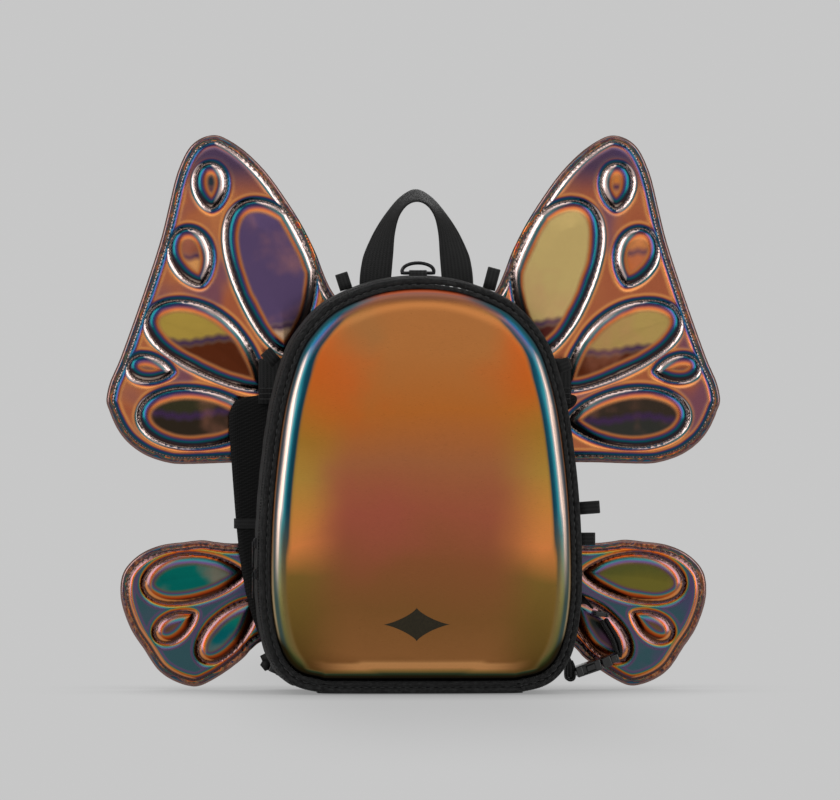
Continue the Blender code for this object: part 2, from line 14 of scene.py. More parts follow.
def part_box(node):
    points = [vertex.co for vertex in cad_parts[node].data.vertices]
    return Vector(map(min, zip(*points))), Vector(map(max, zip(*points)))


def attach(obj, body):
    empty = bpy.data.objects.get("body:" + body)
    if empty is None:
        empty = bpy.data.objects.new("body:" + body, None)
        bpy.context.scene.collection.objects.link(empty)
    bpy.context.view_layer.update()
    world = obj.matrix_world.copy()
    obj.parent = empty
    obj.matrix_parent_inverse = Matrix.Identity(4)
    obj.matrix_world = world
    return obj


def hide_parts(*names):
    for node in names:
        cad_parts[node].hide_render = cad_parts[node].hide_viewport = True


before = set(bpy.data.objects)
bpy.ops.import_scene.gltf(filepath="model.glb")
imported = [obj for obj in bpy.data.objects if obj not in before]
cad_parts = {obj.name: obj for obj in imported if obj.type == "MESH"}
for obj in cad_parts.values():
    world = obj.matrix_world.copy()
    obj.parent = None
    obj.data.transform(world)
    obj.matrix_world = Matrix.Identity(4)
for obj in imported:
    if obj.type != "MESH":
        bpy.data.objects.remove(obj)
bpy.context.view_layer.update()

MM = 0.001

# Camera and stage
CAMERA_AZIMUTH = -3.0
CAMERA_ELEVATION = 0.6
CAMERA_DISTANCE = 8.0
CAMERA_TARGET = Vector((1.5 * MM, 0.0, 229.5 * MM))
PIXEL_AT_TARGET = 0.785 * MM
BACKDROP = 0.572  # brightness of the floor and of the studio behind it
REFLECTED = 0.42  # brightness of the studio in reflections
FILM_GAIN = 0.80  # brightness of white film under the lights

# Wings
SEAM_FRONT_Y = 64.6 * MM
SEAM_BACK_Y = 67.8 * MM
EDGE_SEAM = 5.2 * MM  # from a wing's edge to its stitch line
CELL_RISE = 4.6 * MM
FIELD_RISE = 3.0 * MM
BACK_CELL_RISE = 2.6 * MM
BACK_FIELD_RISE = 1.8 * MM
EDGE_ROLL = 1.6 * MM  # how far the rolled edge falls back, and its radius
EDGE_LIP = 0.7 * MM  # fullness between the edge and its stitch line
CELL_DOME, CELL_CROWN = 9.0 * MM, 22 * MM  # distances over which a cell rises, steeply and gently
FIELD_DOME = 6.5 * MM
# Blur of the painted horizon reflection across the cells
HORIZON_BLUR = 4.5 * MM
STITCH_PITCH = 2.5 * MM
BAND_REACH = 7.0 * MM  # distance from a seam over which the colours change between the cells
CELL_REACH = 12.0 * MM  # and inside them

# Moulded front
RIM_RISE = 10.6 * MM
RIM_REACH = 16.0 * MM
TUCK = 2.0 * MM  # the film's edge is sewn in under the inner welt

# Webbing and buckles
WEB_W = 20 * MM
RIGHT_ANCHOR, RIGHT_TURN = (126.6, 14.1), radians(19.3)  # (x, z) in mm and direction from +X
LEFT_ANCHOR, LEFT_TURN = (-82, 4.7), radians(157)
RIGHT_BUCKLE_Y = 38 * MM

# Teardrop cells of the right-hand wings in mm: tip, broad end, width, roundness, bow of the centre line
UPPER_CELLS = [
    ((160, 380), (161, 416), 25, 0.3, 0),
    ((168, 320), (183, 364), 32, 0.35, 0),
    ((101, 266), (131, 386), 65, 0.45, -7),
    ((118, 238), (209, 298), 49, 0.55, -6),
    ((191, 251), (226, 256), 21, 0.5, 0),
    ((122, 212), (217, 217), 47, 0.4, 0),
]
LOWER_CELLS = [
    ((134, 92), (214, 82), 38, 0.5, -2),
    ((174, 60), (204, 41), 20, 0.6, 0),
    ((126, 70.5), (168, 24), 28, 0.45, 0),
]


# ---- Small helpers ------------------------------------------------------------------------------

def link(obj):
    """Adds an object to the scene."""
    bpy.context.scene.collection.objects.link(obj)
    return obj


def mesh_object(name, verts, faces, mat):
    """A mesh object from lists, with consistent outward normals."""
    mesh = bpy.data.meshes.new(name)
    mesh.from_pydata([tuple(v) for v in verts], [], faces)
    bm = bmesh.new()
    bm.from_mesh(mesh)
    bmesh.ops.recalc_face_normals(bm, faces=bm.faces)
    bm.to_mesh(mesh)
    bm.free()
    mesh.shade_smooth()
    mesh.materials.append(mat)
    return link(bpy.data.objects.new(name, mesh))


def place(obj, body, slot, *nodes):
    """Rides a piece on its body and hides the CAD nodes it stands for; slot is not used."""
    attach(obj, body)
    if nodes:
        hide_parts(*nodes)
    return obj


def outline_of(node):
    """The largest outline of a CAD plate's front face in the XZ plane."""
    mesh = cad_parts[node].data
    front = min(v.co.y for v in mesh.vertices)
    keys, edges = {}, {}

    def key(vert):
        co = mesh.vertices[vert].co
        found = (round(co.x * 1e5), round(co.z * 1e5))
        keys.setdefault(found, Vector((co.x, co.z)))
        return found

    for poly in mesh.polygons:
        if all(abs(mesh.vertices[v].co.y - front) < 0.02 * MM for v in poly.vertices):
            ring = [key(v) for v in poly.vertices]
            for a, b in zip(ring, ring[1:] + ring[:1]):
                if (b, a) in edges:
                    del edges[(b, a)]
                else:
                    edges[(a, b)] = True
    after = {a: b for a, b in edges}
    loops = []
    while after:
        start = next(iter(after))
        loop, at = [], start
        while at in after:
            loop.append(keys[at])
            at = after.pop(at)
        if area(loop) < 0:
            loop.reverse()
        loops.append(loop)
    return max(loops, key=area)


def box_of(node):
    """A CAD node's low corner, high corner and middle."""
    low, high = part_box(node)
    return low, high, (low + high) / 2


def paint(node, look):
    """Gives a CAD node that stays one of the looks."""
    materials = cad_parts[node].data.materials
    materials.clear()
    materials.append(LOOKS[look])


def area(loop):
    """The area inside a closed outline, negative if it runs clockwise."""
    return 0.5 * sum(a.x * b.y - b.x * a.y for a, b in zip(loop, loop[1:] + loop[:1]))


def between(a, b, c, d, steps):
    """Points along the Catmull-Rom curve from b to c, without c."""
    square, cube = 2 * a - 5 * b + 4 * c - d, 3 * b - a - 3 * c + d
    shares = [s / steps for s in range(steps)]
    return [0.5 * (2 * b + (c - a) * t + square * t**2 + cube * t**3) for t in shares]


def resample(loop, step):
    """Evenly spaced points along a closed smooth curve through a loop."""
    fine = []
    count = len(loop)
    for i in range(count):
        fine += between(*(loop[(i + k) % count] for k in (-1, 0, 1, 2)), 6)
    return even(fine + fine[:1], step)[:-1]


def even(path, step):
    """Points at an even spacing close to step along an open path, its ends included."""
    lengths = [0.0]
    for a, b in zip(path, path[1:]):
        lengths.append(lengths[-1] + (b - a).length)
    count = max(2, round(lengths[-1] / step))
    out, k = [], 0
    for n in range(count + 1):
        want = lengths[-1] * n / count
        while k < len(path) - 2 and lengths[k + 1] < want:
            k += 1
        span = lengths[k + 1] - lengths[k]
        out.append(path[k].lerp(path[k + 1], (want - lengths[k]) / span if span else 0.0))
    return out


def smooth_open(points, steps):
    """Points along a Catmull-Rom curve through an open list of vectors."""
    points = [Vector(p) for p in points]
    last = len(points) - 1
    out = []
    for i in range(last):
        out += between(*(points[min(max(i + k, 0), last)] for k in (-1, 0, 1, 2)), steps)
    return out + [points[-1]]


def inset(loop, distance):
    """A closed anticlockwise outline moved inwards."""
    out = []
    for i, point in enumerate(loop):
        along = (loop[(i + 1) % len(loop)] - loop[i - 1]).normalized()
        out.append(point + Vector((-along.y, along.x)) * distance)
    return out


def shrink(loop, distance, step):
    """A closed outline moved inwards, without the loops that tight corners would make."""
    tree = tree_of(resample(loop, 0.4 * MM))
    kept = [p for p in inset(loop, distance) if reach(tree, p) > 0.985 * distance - 0.02 * MM]
    return resample(kept, step)


def inside(point, loop):
    """True if a 2D point lies inside a closed outline."""
    odd = False
    x, y = point.x, point.y
    bx, by = loop[-1].x, loop[-1].y
    for corner in loop:
        ax, ay = corner.x, corner.y
        if (ay > y) != (by > y) and x < (bx - ax) * (y - ay) / (by - ay) + ax:
            odd = not odd
        bx, by = ax, ay
    return odd


def tree_of(points):
    """A search tree over 2D points."""
    tree = kdtree.KDTree(len(points))
    for i, p in enumerate(points):
        tree.insert((p.x, p.y, 0.0), i)
    tree.balance()
    return tree


def reach(tree, point):
    """The distance from a 2D point to the nearest point of a tree."""
    return tree.find((point.x, point.y, 0.0))[2]


def dome(share):
    """A rise from 0 at share 0 to 1 at share 1, steep first."""
    share = min(max(share, 0.0), 1.0)
    return sqrt(1 - (1 - share) ** 2)


# ---- Materials ----------------------------------------------------------------------------------

class Value:
    """A node's output that does arithmetic: each operation on it adds a node."""

    def __init__(self, look, socket):
        self.look, self.socket = look, socket

    def __add__(self, other):
        return self.look.math("ADD", self, other)

    def __sub__(self, other):
        return self.look.math("SUBTRACT", self, other)

    def __rsub__(self, other):
        return self.look.math("SUBTRACT", other, self)

    def __mul__(self, other):
        return self.look.math("MULTIPLY", self, other)

    def __abs__(self):
        return self.look.math("ABSOLUTE", self)

    def step(self, start, end):
        """0 at start and 1 at end, smooth between."""
        inputs = {0: self, 1: start, 2: end}
        made = self.look.node("ShaderNodeMapRange", inputs, interpolation_type="SMOOTHSTEP")
        return Value(self.look, made.outputs[0])

    def wave(self, period):
        """A sine of a metre value with this period in metres, from 0 to 1."""
        return self.look.math("SINE", self * (2 * pi / period)) * 0.5 + 0.5


class Look:
    """A Principled material built from a few node calls."""

    def __init__(self, name, roughness=0.5, metallic=0.0, **values):
        self.mat = bpy.data.materials.new(name)
        self.mat.use_nodes = True
        self.tree = self.mat.node_tree
        self.shader = self.tree.nodes["Principled BSDF"]
        self.set("Roughness", roughness)
        self.set("Metallic", metallic)
        for key, value in values.items():
            self.set(key.replace("_", " "), value)
        coords = self.tree.nodes.new("ShaderNodeTexCoord").outputs
        self.place, self.normal = Value(self, coords["Object"]), Value(self, coords["Normal"])

    def connect(self, value, target):
        """Links a value to a socket, or sets a plain number or colour on it."""
        if isinstance(value, Value):
            self.tree.links.new(value.socket, target)
        else:
            target.default_value = value

    def set(self, socket, value):
        self.connect(value, self.shader.inputs[socket])

    def node(self, kind, inputs=(), **props):
        made = self.tree.nodes.new(kind)
        for key, value in props.items():
            setattr(made, key, value)
        for slot, value in dict(inputs).items():
            self.connect(value, made.inputs[slot])
        return made

    def math(self, op, a, b=0.0, clamp=False):
        made = self.node("ShaderNodeMath", {0: a, 1: b}, operation=op, use_clamp=clamp)
        return Value(self, made.outputs[0])

    def parts(self, vector):
        made = self.node("ShaderNodeSeparateXYZ", {0: vector})
        return [Value(self, socket) for socket in made.outputs]

    def noise(self, scale, detail=2.0, vector=None, distortion=0.0):
        inputs = {"Vector": vector or self.place, "Scale": scale, "Detail": detail, "Distortion": distortion}
        return Value(self, self.node("ShaderNodeTexNoise", inputs).outputs["Fac"])

    def ramp(self, factor, stops):
        """A colour ramp through stops of (position, colour with its alpha)."""
        made = self.node("ShaderNodeValToRGB", {0: factor})
        elements = made.color_ramp.elements
        while len(elements) < len(stops):
            elements.new(0.5)
        for element, (at, colour) in zip(elements, stops):
            element.position = at
            element.color = colour
        return Value(self, made.outputs["Color"])

    def greys(self, factor, *stops):
        """A ramp of greys through stops of (position, brightness)."""
        return self.ramp(factor, [(at, (grey, grey, grey, 1.0)) for at, grey in stops])

    def film(self, factor, stops):
        """A ramp of film colours through stops of (position, red, green, blue)."""
        return self.ramp(factor, [(at, lit(*colour)) for at, *colour in stops])

    def mix(self, factor, a, b, blend="MIX"):
        made = self.node("ShaderNodeMix", {0: factor, 6: a, 7: b}, data_type="RGBA", blend_type=blend)
        return Value(self, made.outputs[2])

    def bump(self, height, strength, distance, normal=None):
        inputs = {"Height": height, "Strength": strength, "Distance": distance}
        if normal:
            inputs["Normal"] = normal
        return Value(self, self.node("ShaderNodeBump", inputs).outputs[0])

    def attribute(self, name, output="Fac"):
        return Value(self, self.node("ShaderNodeAttribute", attribute_name=name).outputs[output])


def lit(red, green, blue):
    """The film colour that shows as this 8-bit colour under the stage's light."""
    return (*(min(1.0, (c / 255) ** 2.2 / FILM_GAIN) for c in (red, green, blue)), 1.0)


# Colours of the film going away from a seam: (share of its reach, red, green, blue). The pale first stop is
# a painted glint on the film between the stitches, and the dark stop after it is painted shade in the seam's
# groove
UPPER_FIELD = [
    (0.00, 170, 150, 138), (0.06, 70, 56, 60), (0.14, 28, 74, 86), (0.26, 34, 62, 96),
    (0.38, 74, 56, 92), (0.48, 150, 84, 66), (0.60, 206, 128, 72), (0.74, 214, 140, 86),
    (1.00, 178, 100, 70),
]
UPPER_CELL = [
    (0.00, 160, 140, 128), (0.05, 60, 44, 42), (0.14, 38, 48, 62), (0.26, 20, 86, 88),
    (0.38, 50, 62, 108), (0.50, 116, 66, 72), (0.62, 184, 104, 58), (0.72, 184, 122, 76),
    (1.00, 130, 84, 84),
]
# Flank ramp of the upper wings: its pale stops are a painted highlight
UPPER_FLANK_HIGHLIGHT = [
    (0.00, 160, 140, 128), (0.05, 70, 60, 60), (0.15, 196, 172, 166), (0.33, 204, 180, 174),
    (0.44, 70, 116, 118), (0.56, 16, 90, 92), (0.68, 48, 62, 100), (0.82, 90, 66, 96),
    (1.00, 110, 80, 96),
]
LOWER_FIELD = [
    (0.00, 112, 84, 70), (0.06, 70, 50, 48), (0.16, 84, 66, 84), (0.26, 150, 72, 34),
    (0.36, 196, 92, 36), (0.46, 146, 128, 58), (0.56, 40, 110, 106), (0.68, 80, 84, 112),
    (0.80, 100, 76, 104), (0.90, 88, 84, 106), (1.00, 60, 90, 96),
]
LOWER_CELL = [
    (0.00, 112, 78, 60), (0.08, 80, 40, 28), (0.24, 170, 66, 28), (0.38, 164, 100, 44),
    (0.50, 40, 118, 118), (0.62, 90, 68, 108), (0.76, 108, 82, 62), (1.00, 96, 92, 54),
]
# Flank ramp of the lower wings: its warm pale stops are a painted highlight
LOWER_FLANK_HIGHLIGHT = [
    (0.00, 112, 86, 72), (0.06, 60, 50, 50), (0.15, 104, 80, 78), (0.27, 118, 88, 80),
    (0.38, 120, 96, 110), (0.48, 206, 96, 34), (0.60, 176, 132, 56), (0.74, 30, 116, 108),
    (1.00, 50, 100, 92),
]
EDGE_BAND = [
    (0.00, 120, 88, 80), (0.10, 60, 48, 70), (0.24, 24, 92, 104), (0.40, 64, 60, 108),
    (0.54, 140, 60, 70), (0.68, 190, 100, 46), (0.82, 50, 96, 84), (1.00, 86, 60, 70),
]
# Speck colours of the rolled edge: partly the crinkled film's own colour, partly painted glints
EDGE_GLINT_SPECKS = [(0.34, 60, 36, 32), (0.5, 150, 76, 40), (0.62, 206, 134, 80), (0.72, 60, 60, 90)]


def film_quilted(name, bands, highlight_side, warm_highlight, specks):
    """Holographic film on a quilted wing: bands of colour that follow its seams and its slope, with painted
    highlights, painted glints and a painted reflection of the horizon.

    gap and deep are the distance from the nearest seam over BAND_REACH and CELL_REACH, zone is 0
    outside the edge seam, 0.5 between the cells and 1 in them, centre is a cell's colour split by a
    painted reflection of the horizon, and hand is the wing's side. bands holds the ramps of the field,
    of a cell, and of a flank with its painted highlight. The three numbers after bands pick the side
    whose flanks take that painted highlight, weigh a painted warm highlight on downward flanks, and
    weigh warm specks on the rolled edge that are partly painted glints.
    """
    look = Look(name, 0.2, 1.0)
    nx, _, nz = look.parts(look.normal)
    pz = look.parts(look.place)[2]
    gap, deep, zone, hand = (look.attribute(key) for key in ("gap", "deep", "zone", "hand"))
    drift = (look.noise(34.0, distortion=0.5) - 0.5) * 0.26
    slow = (look.noise(11.0) - 0.5) * 0.34
    tilt = nz * 0.16 + (drift + slow)
    share = look.math("ADD", gap, tilt * gap.step(0.02, 0.35), clamp=True)
    inward = look.math("ADD", deep, (tilt + nz * 0.30) * deep.step(0.02, 0.30), clamp=True)
    in_cell, in_field = zone.step(0.74, 0.76), zone.step(0.24, 0.26)
    # Flanks turned to one side across the wing take the flank ramp: a painted highlight
    side = nx * hand * highlight_side
    highlight_mask = (side + nz * 0.25).step(0.10, 0.26)
    field_band, cell_band, highlight_band = bands
    field = look.mix(highlight_mask, look.film(share, field_band), look.film(share, highlight_band))
    within = look.mix(highlight_mask, look.film(inward, cell_band), look.film(inward, highlight_band))
    blue = pz.step(0.385, 0.415) * gap.step(0.30, 0.75)
    field = look.mix(blue * 0.85, field, lit(50, 58, 92))
    patch = look.noise(15.0).step(0.50, 0.62) * gap.step(0.45, 0.85)
    field = look.mix(patch * 0.6, field, lit(84, 70, 108))
    colour = look.mix(in_cell, field, within)
    # Cell middles take their centre colours, which carry the painted horizon reflection
    inner = in_cell * inward.step(0.62, 0.92)
    colour = look.mix(inner, colour, look.attribute("centre", "Color"))
    cloud = look.noise(26.0, 3.0).step(0.45, 0.70) * (inner * 0.30)
    colour = look.mix(cloud, colour, lit(206, 136, 110))
    # Flanks facing down near the seams take a painted warm highlight
    low = (side - nz).step(0.36, 0.56) * warm_highlight
    near = gap.step(0.10, 0.30) * (1.0 - gap.step(0.5, 0.8))
    colour = look.mix(low * near, colour, lit(226, 144, 82))
    along_edge = gap * 1.2 + look.noise(110.0) * 1.2
    rim = look.film(look.math("FRACT", along_edge), EDGE_BAND)
    # Warm specks on the rolled edge: partly the film's own colour, partly painted glints
    warm = look.noise(30.0).step(0.42, 0.62) * specks
    rim = look.mix(warm, rim, look.film(look.noise(300.0), EDGE_GLINT_SPECKS))
    rim = look.mix(gap.step(0.46, 0.56), rim, lit(124, 98, 92))
    look.set("Base Color", look.mix(in_field, rim, colour))
    fine = look.noise(900.0)
    look.set("Roughness", fine * 0.10 + 0.16)
    look.set("Normal", look.bump(look.noise(60.0), 0.10, 1.0 * MM, look.bump(fine, 0.05, 0.1 * MM)))
    return look.mat


# Colours of the moulded front: up its middle and its flanks, then by how far its surface turns
# sideways high up and low down, up over the crown and down under the foot. The pale bands of the
# sideways ramps are a painted highlight of the side lamps, and the ramps under the foot and at its
# lower corners darken into painted shade
FRONT_MIDDLE = [
    (0.03, 120, 80, 46), (0.10, 146, 98, 58), (0.19, 132, 90, 52), (0.30, 142, 88, 56),
    (0.42, 162, 90, 66), (0.55, 166, 102, 66), (0.68, 182, 106, 50), (0.82, 176, 112, 62),
    (0.92, 168, 108, 62),
]
FRONT_FLANK = [
    (0.05, 84, 62, 30), (0.14, 108, 84, 42), (0.28, 128, 100, 50), (0.36, 222, 134, 74),
    (0.43, 208, 136, 68), (0.52, 180, 138, 64), (0.62, 168, 120, 50), (0.74, 192, 106, 44),
    (0.84, 206, 98, 38), (0.95, 196, 94, 50),
]
# Its pale stops from 0.43 to 0.56 are a painted highlight of the side lamps
FRONT_HIGH_SIDE_HIGHLIGHT = [
    (0.12, 110, 96, 60), (0.18, 28, 64, 76), (0.28, 24, 64, 78), (0.37, 36, 92, 98),
    (0.43, 112, 116, 118), (0.47, 206, 178, 164), (0.56, 214, 186, 172), (0.61, 130, 126, 128),
    (0.68, 66, 76, 84), (0.75, 92, 86, 84), (0.82, 184, 116, 70), (0.90, 70, 58, 44), (1.0, 40, 30, 24),
]
# Its pale stops from 0.76 to 0.84 are a painted highlight
FRONT_LOW_SIDE_HIGHLIGHT = [
    (0.12, 122, 98, 58), (0.40, 98, 94, 58), (0.54, 58, 76, 74), (0.66, 74, 88, 80),
    (0.76, 176, 154, 116), (0.84, 160, 134, 98), (0.92, 70, 50, 34), (1.0, 30, 22, 16),
]
FRONT_CROWN = [
    (0.26, 172, 110, 64), (0.46, 138, 90, 68), (0.62, 120, 80, 70), (0.74, 168, 84, 54),
    (0.85, 202, 82, 40), (0.93, 110, 52, 32), (1.0, 52, 32, 24),
]
FRONT_SHOULDER = [
    (0.22, 170, 96, 56), (0.34, 90, 60, 84), (0.48, 34, 68, 98), (0.66, 42, 98, 108),
    (0.80, 60, 84, 92), (0.92, 40, 36, 34),
]
# Its dark end is painted shade where the surface faces down
FRONT_SOLE_SHADE = [
    (0.06, 150, 104, 62), (0.16, 206, 146, 92), (0.30, 214, 150, 94), (0.42, 150, 118, 66),
    (0.54, 56, 72, 52), (0.66, 45, 38, 22), (0.85, 24, 19, 13),
]
# Its dark end is painted shade where the lower corners face down and sideways
FRONT_CORNER_SHADE = [
    (0.20, 116, 98, 58), (0.34, 90, 92, 54), (0.48, 54, 58, 34), (0.62, 45, 38, 20), (0.90, 26, 21, 14),
]
FRONT_SPOTS = (  # x, z and radius in metres, strength, colour
    (-0.040, 0.138, 0.062, 0.42, (168, 84, 72)), (-0.066, 0.250, 0.050, 0.50, (208, 92, 36)),
    (0.082, 0.250, 0.045, 0.45, (202, 92, 38)), (-0.046, 0.287, 0.030, 0.35, (150, 112, 70)),
)


def film_front():
    """Film of the moulded front: copper above, gold at the sides, rose left of the middle, olive below."""
    look = Look("film_front", 0.3, 1.0)
    nx, _, nz = look.parts(look.normal)
    px, _, pz = look.parts(look.place)
    soft = (look.noise(9.0, 3.0) - 0.5) * 0.14
    height = look.math("ADD", look.math("DIVIDE", pz, 0.326), soft, clamp=True)
    out_x = abs(px) + soft * 0.25
    face_colour = look.mix(out_x.step(0.050, 0.100), look.film(height, FRONT_MIDDLE),
                           look.film(height, FRONT_FLANK))
    wander = (look.noise(22.0, 3.0) - 0.5) * 0.07
    wx, wz = px + wander, pz - wander
    for x, z, radius, strength, colour in FRONT_SPOTS:
        dx, dz = wx - x, wz - z
        spot = 1.0 - look.math("SQRT", dx * dx + dz * dz).step(0.0, radius)
        face_colour = look.mix(spot * strength, face_colour, lit(*colour))
    turn, down = abs(nx), nz * -1.0
    tilt = look.math("SQRT", nx * nx + nz * nz)
    sides = look.mix(pz.step(0.07, 0.15), look.film(turn, FRONT_LOW_SIDE_HIGHLIGHT), look.film(turn, FRONT_HIGH_SIDE_HIGHLIGHT))
    middle_part = 1.0 - abs(px).step(0.045, 0.090)
    sole_part = look.math("MAXIMUM", down.step(0.42, 0.54), middle_part)
    # Overlays by how the surface turns: a painted highlight on the sideways rim, painted shade under the
    # foot and at its lower corners
    for amount, colour in (
        (turn.step(0.08, 0.20), sides),
        (nz.step(0.22, 0.42), look.film(nz, FRONT_CROWN)),
        (nz.step(0.10, 0.30) * turn.step(0.12, 0.34), look.film(tilt, FRONT_SHOULDER)),
        (down.step(0.03, 0.15) * sole_part, look.film(down, FRONT_SOLE_SHADE)),
        (down.step(0.10, 0.26) * turn.step(0.10, 0.26), look.film(tilt, FRONT_CORNER_SHADE)),
    ):
        face_colour = look.mix(amount, face_colour, colour)
    stretched = look.node("ShaderNodeMapping", {0: look.place, 3: (1.0, 1.0, 7.0)}).outputs[0]
    grain = look.noise(420.0, 3.0, vector=Value(look, stretched))
    mottle = grain * 0.16 + 0.92
    grey = Value(look, look.node("ShaderNodeCombineXYZ", {0: mottle, 1: mottle, 2: mottle}).outputs[0])
    look.set("Base Color", look.mix(1.0, face_colour, grey, "MULTIPLY"))
    look.set("Roughness", grain * 0.12 + 0.24)
    look.set("Normal", look.bump(grain, 0.05, 0.1 * MM, look.bump(look.noise(40.0), 0.05, 1.0 * MM)))
    return look.mat


def fabric():
    """Black woven polyester: waves crossing in three directions, for surfaces that face any way."""
    shade, period = 0.013, 1.3 * MM
    look = Look("fabric", 0.8, Sheen_Weight=0.06, Sheen_Roughness=0.4, Specular_IOR_Level=0.15)
    x, y, z = look.parts(look.place)
    cross = abs((x + y).wave(period) - (z - y * 0.3).wave(period))
    # The black cloth's tone rises on the weave's crests, a painted highlight and shade, with random flecks
    # of tone on top
    tone = cross * 0.45 + look.noise(480.0, 3.0) * 0.75
    look.set("Base Color", look.greys(tone, (0.30, shade * 0.1), (0.62, shade * 0.7), (0.85, shade * 3.4)))
    look.set("Normal", look.bump(cross, 1.0, 0.25 * MM))
    return look.mat


def ribbed():
    """Ribbed webbing; its UV map holds metres along and across."""
    shade, pitch = 0.011, 1.5 * MM
    look = Look("webbing", 0.62, Sheen_Weight=0.05, Sheen_Roughness=0.35, Specular_IOR_Level=0.2)
    u, v, _ = look.parts(Value(look, look.node("ShaderNodeUVMap", uv_map="tape").outputs[0]))
    ribs = (u + look.math("PINGPONG", v, pitch) * 0.7).wave(pitch)
    height = ribs * 0.7 + v.wave(2 * pitch) * 0.5
    # Rib crests are painted lighter than the hollows: painted highlight and shade on the black tape
    tone = height * 0.7 + look.noise(700.0) * 0.3
    look.set("Base Color", look.greys(tone, (0.15, shade * 0.2), (1.0, shade * 2.0)))
    look.set("Normal", look.bump(height, 0.9, 0.35 * MM))
    return look.mat


def air_mesh():
    """Three-layer air mesh: diagonal knitted ribs with small open cells."""
    look = Look("air_mesh", 0.85, Sheen_Weight=0.06, Sheen_Roughness=0.4, Specular_IOR_Level=0.12)
    x, _, z = look.parts(look.place)
    ribs = look.math("POWER", (x * -0.45 + z).wave(2.9 * MM), 2.5)
    cells = x.wave(1.7 * MM) * z.wave(1.9 * MM)
    height = ribs * 0.5 + cells * 0.6
    # Raised ribs are painted lighter and the open cells darker: painted highlight and shade in the knit
    tone = height * 0.7 + look.noise(500.0, 3.0) * 0.3
    look.set("Base Color", look.greys(tone, (0.15, 0.004), (0.6, 0.010), (1.0, 0.022)))
    look.set("Normal", look.bump(height, 0.9, 0.6 * MM))
    return look.mat


def plastic():
    """Moulded acetal with a faint flow texture and lighter rubbed patches at random."""
    shade = 0.006
    look = Look("plastic", 0.3, Coat_Weight=0.3, Coat_Roughness=0.15)
    rub = look.noise(220.0, 3.0)
    look.set("Base Color", look.greys(rub, (0.3, shade * 0.7), (0.8, shade * 1.6)))
    look.set("Roughness", rub * 0.18 + 0.2)
    look.set("Normal", look.bump(look.noise(1200.0), 0.12, 0.1 * MM))
    return look.mat


def dark_metal():
    """Black coated zinc with fine wear."""
    look = Look("dark_metal", 0.3, 0.9)
    wear = look.noise(350.0, 3.0)
    look.set("Base Color", look.ramp(wear, [
        (0.35, (0.012, 0.012, 0.013, 1.0)), (0.75, (0.05, 0.05, 0.052, 1.0)),
    ]))
    look.set("Roughness", wear * 0.25 + 0.18)
    look.set("Normal", look.bump(wear, 0.05, 0.1 * MM))
    return look.mat


def thread():
    """Twisted black thread, a little shiny."""
    look = Look("thread", 0.38, Coat_Weight=0.2)
    twist = look.noise(2500.0)
    look.set("Base Color", look.greys(twist, (0.3, 0.006), (0.8, 0.035)))
    look.set("Normal", look.bump(twist, 0.4, 0.1 * MM))
    return look.mat


def foam():
    """Open-cell foam."""
    look = Look("foam", 0.9)
    cells = look.noise(800.0, 3.0)
    look.set("Base Color", look.greys(cells, (0.3, 0.06), (0.8, 0.13)))
    look.set("Normal", look.bump(cells, 0.5, 0.2 * MM))
    return look.mat


def ink():
    """Dark print that dulls the film under it."""
    look = Look("ink", 0.5, Specular_IOR_Level=0.2)
    worn = look.noise(900.0, 3.0)
    look.set("Base Color", look.ramp(worn, [
        (0.3, (0.012, 0.009, 0.003, 1.0)), (0.8, (0.024, 0.018, 0.007, 1.0)),
    ]))
    return look.mat


LOOKS = {
    "front": film_front(),
    # The last three numbers pick the side of the painted flank highlight, weigh the painted warm highlight,
    # and weigh the warm specks that are partly painted glints
    "upper_film": film_quilted("film_upper", (UPPER_FIELD, UPPER_CELL, UPPER_FLANK_HIGHLIGHT), -1.0, 0.0, 0.3),
    "lower_film": film_quilted("film_lower", (LOWER_FIELD, LOWER_CELL, LOWER_FLANK_HIGHLIGHT), 1.0, 0.8, 0.6),
    "fabric": fabric(),
    "webbing": ribbed(),
    "mesh": air_mesh(),
    "plastic": plastic(),
    "metal": dark_metal(),
    "thread": thread(),
    "foam": foam(),
    "ink": ink(),
}


# ---- Height fields: quilted skins and pads ------------------------------------------------------

def triangulate(outline, seams, spacing):
    """Fills an outline with near-even triangles whose edges follow the seams; returns points, faces."""
    points = list(outline)
    edges = [(i, (i + 1) % len(outline)) for i in range(len(outline))]
    for seam in seams:
        start = len(points)
        points += seam
        edges += [(start + i, start + (i + 1) % len(seam)) for i in range(len(seam))]
    near = tree_of(points)
    low = Vector((min(p.x for p in outline), min(p.y for p in outline)))
    high = Vector((max(p.x for p in outline), max(p.y for p in outline)))
    rows = int((high.y - low.y) / (spacing * 0.866)) + 1
    columns = int((high.x - low.x) / spacing) + 2
    for r in range(rows):
        for c in range(columns):
            p = Vector((low.x + (c + 0.5 * (r % 2)) * spacing, low.y + r * spacing * 0.866))
            if reach(near, p) > 0.62 * spacing and inside(p, outline):
                points.append(p)
    verts, _, faces, *_ = geometry.delaunay_2d_cdt(points, edges, [], 1, 1e-7)
    return verts, faces


def field(name, outline, seams, spacing, depth, mat):
    """An object over an outline, its depth in Y given by depth(point)."""
    points, faces = triangulate(outline, seams, spacing)
    return mesh_object(name, [(p.x, depth(p), p.y) for p in points], faces, mat)


